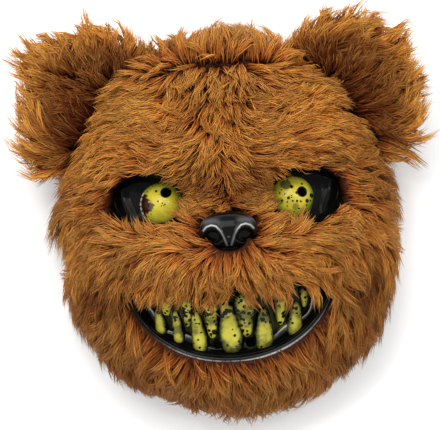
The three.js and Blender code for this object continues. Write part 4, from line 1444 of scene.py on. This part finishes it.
class MASK_OT_stage(bpy.types.Operator):
    """Sets the floor, the soft lights and the camera over the face"""

    bl_idname = "mask.stage"
    bl_label = "Stage"

    def execute(self, context):
        scene = context.scene
        finish = scene.mask_finish
        bm = bmesh.new()
        bmesh.ops.create_grid(bm, x_segments=2, y_segments=2, size=3.0)
        mesh = bpy.data.meshes.new("floor")
        bm.to_mesh(mesh)
        bm.free()
        n = Nodes("floor_card")
        n.shade(Base_Color=tuple(finish.floor), Roughness=0.8, Specular_IOR_Level=0.1)
        mesh.materials.append(n.material)
        floor = bpy.data.objects.new("floor", mesh)
        scene.collection.objects.link(floor)
        world = bpy.data.worlds.new("studio")
        world.use_nodes = True
        world.node_tree.nodes["Background"].inputs[0].default_value = (1.0, 1.0, 1.0, 1.0)
        world.node_tree.nodes["Background"].inputs[1].default_value = 0.8
        scene.world = world
        for name, spot, size, power in (
            ("key", (-0.15, 0.7, 1.0), 0.8, 9.0),
            ("fill", (0.7, 0.4, 1.0), 1.0, 2.5),
            ("side", (-0.8, 0.2, 0.9), 0.8, 2.5),
            ("spark_left", (-0.35, 0.35, 1.1), 0.12, 1.2),
            ("spark_right", (0.45, 0.3, 1.0), 0.12, 1.0),
            ("spark_low", (0.05, -0.75, 0.8), 0.12, 0.8),
        ):
            light = bpy.data.lights.new(name, "AREA")
            light.size = size
            light.energy = power
            lamp = bpy.data.objects.new(name, light)
            lamp.location = spot
            lamp.rotation_euler = (Vector((0, 0, 0.04)) - Vector(spot)).to_track_quat("-Z", "Y").to_euler()
            scene.collection.objects.link(lamp)
        camera = bpy.data.objects.new("camera", bpy.data.cameras.new("camera"))
        distance = 1.15
        level = 0.045
        camera.data.sensor_width = 36.0
        camera.data.lens = 36.0 * (distance - level) / (440 * 0.6 * MM)
        camera.location = (HEAD_X - 4.4 * MM, HEAD_Y + 8.5 * MM, distance)
        camera.rotation_euler = (0.0, 0.0, math.radians(-3.0))
        camera.data.clip_start = 0.01
        scene.collection.objects.link(camera)
        scene.camera = camera
        scene.view_settings.view_transform = "Standard"
        return {"FINISHED"}


class MASK_PT_panel(bpy.types.Panel):
    """Sizes, colours and the pieces to make"""

    bl_idname = "MASK_PT_panel"
    bl_label = "Bear mask"
    bl_space_type = "VIEW_3D"
    bl_region_type = "UI"
    bl_category = "Mask"

    def draw(self, context):
        layout = self.layout
        for name, group in GROUPS.items():
            box = layout.box()
            for key in group.__annotations__:
                box.prop(getattr(context.scene, name), key)
        for operator in OPERATORS:
            layout.operator(operator.bl_idname)


GROUPS = {
    "mask_head": HeadSizes,
    "mask_face": FaceSizes,
    "mask_ears": EarSizes,
    "mask_pile": PileSizes,
    "mask_finish": Finishes,
}
OPERATORS = (
    MASK_OT_stage, MASK_OT_shell, MASK_OT_eyes, MASK_OT_nose, MASK_OT_teeth, MASK_OT_lip, MASK_OT_head_fur,
    MASK_OT_ears,
)


def register():
    for cls in (*GROUPS.values(), *OPERATORS, MASK_PT_panel):
        bpy.utils.register_class(cls)
    for name, group in GROUPS.items():
        setattr(bpy.types.Scene, name, bpy.props.PointerProperty(type=group))


def unregister():
    for name in GROUPS:
        delattr(bpy.types.Scene, name)
    for cls in reversed((*GROUPS.values(), *OPERATORS, MASK_PT_panel)):
        bpy.utils.unregister_class(cls)


def main():
    register()
    bpy.ops.mask.stage()
    bpy.ops.mask.shell()
    bpy.ops.mask.eyes()
    bpy.ops.mask.nose()
    bpy.ops.mask.teeth()
    bpy.ops.mask.lip()
    bpy.ops.mask.head_fur()
    bpy.ops.mask.ears()


if __name__ == "__main__":
    main()
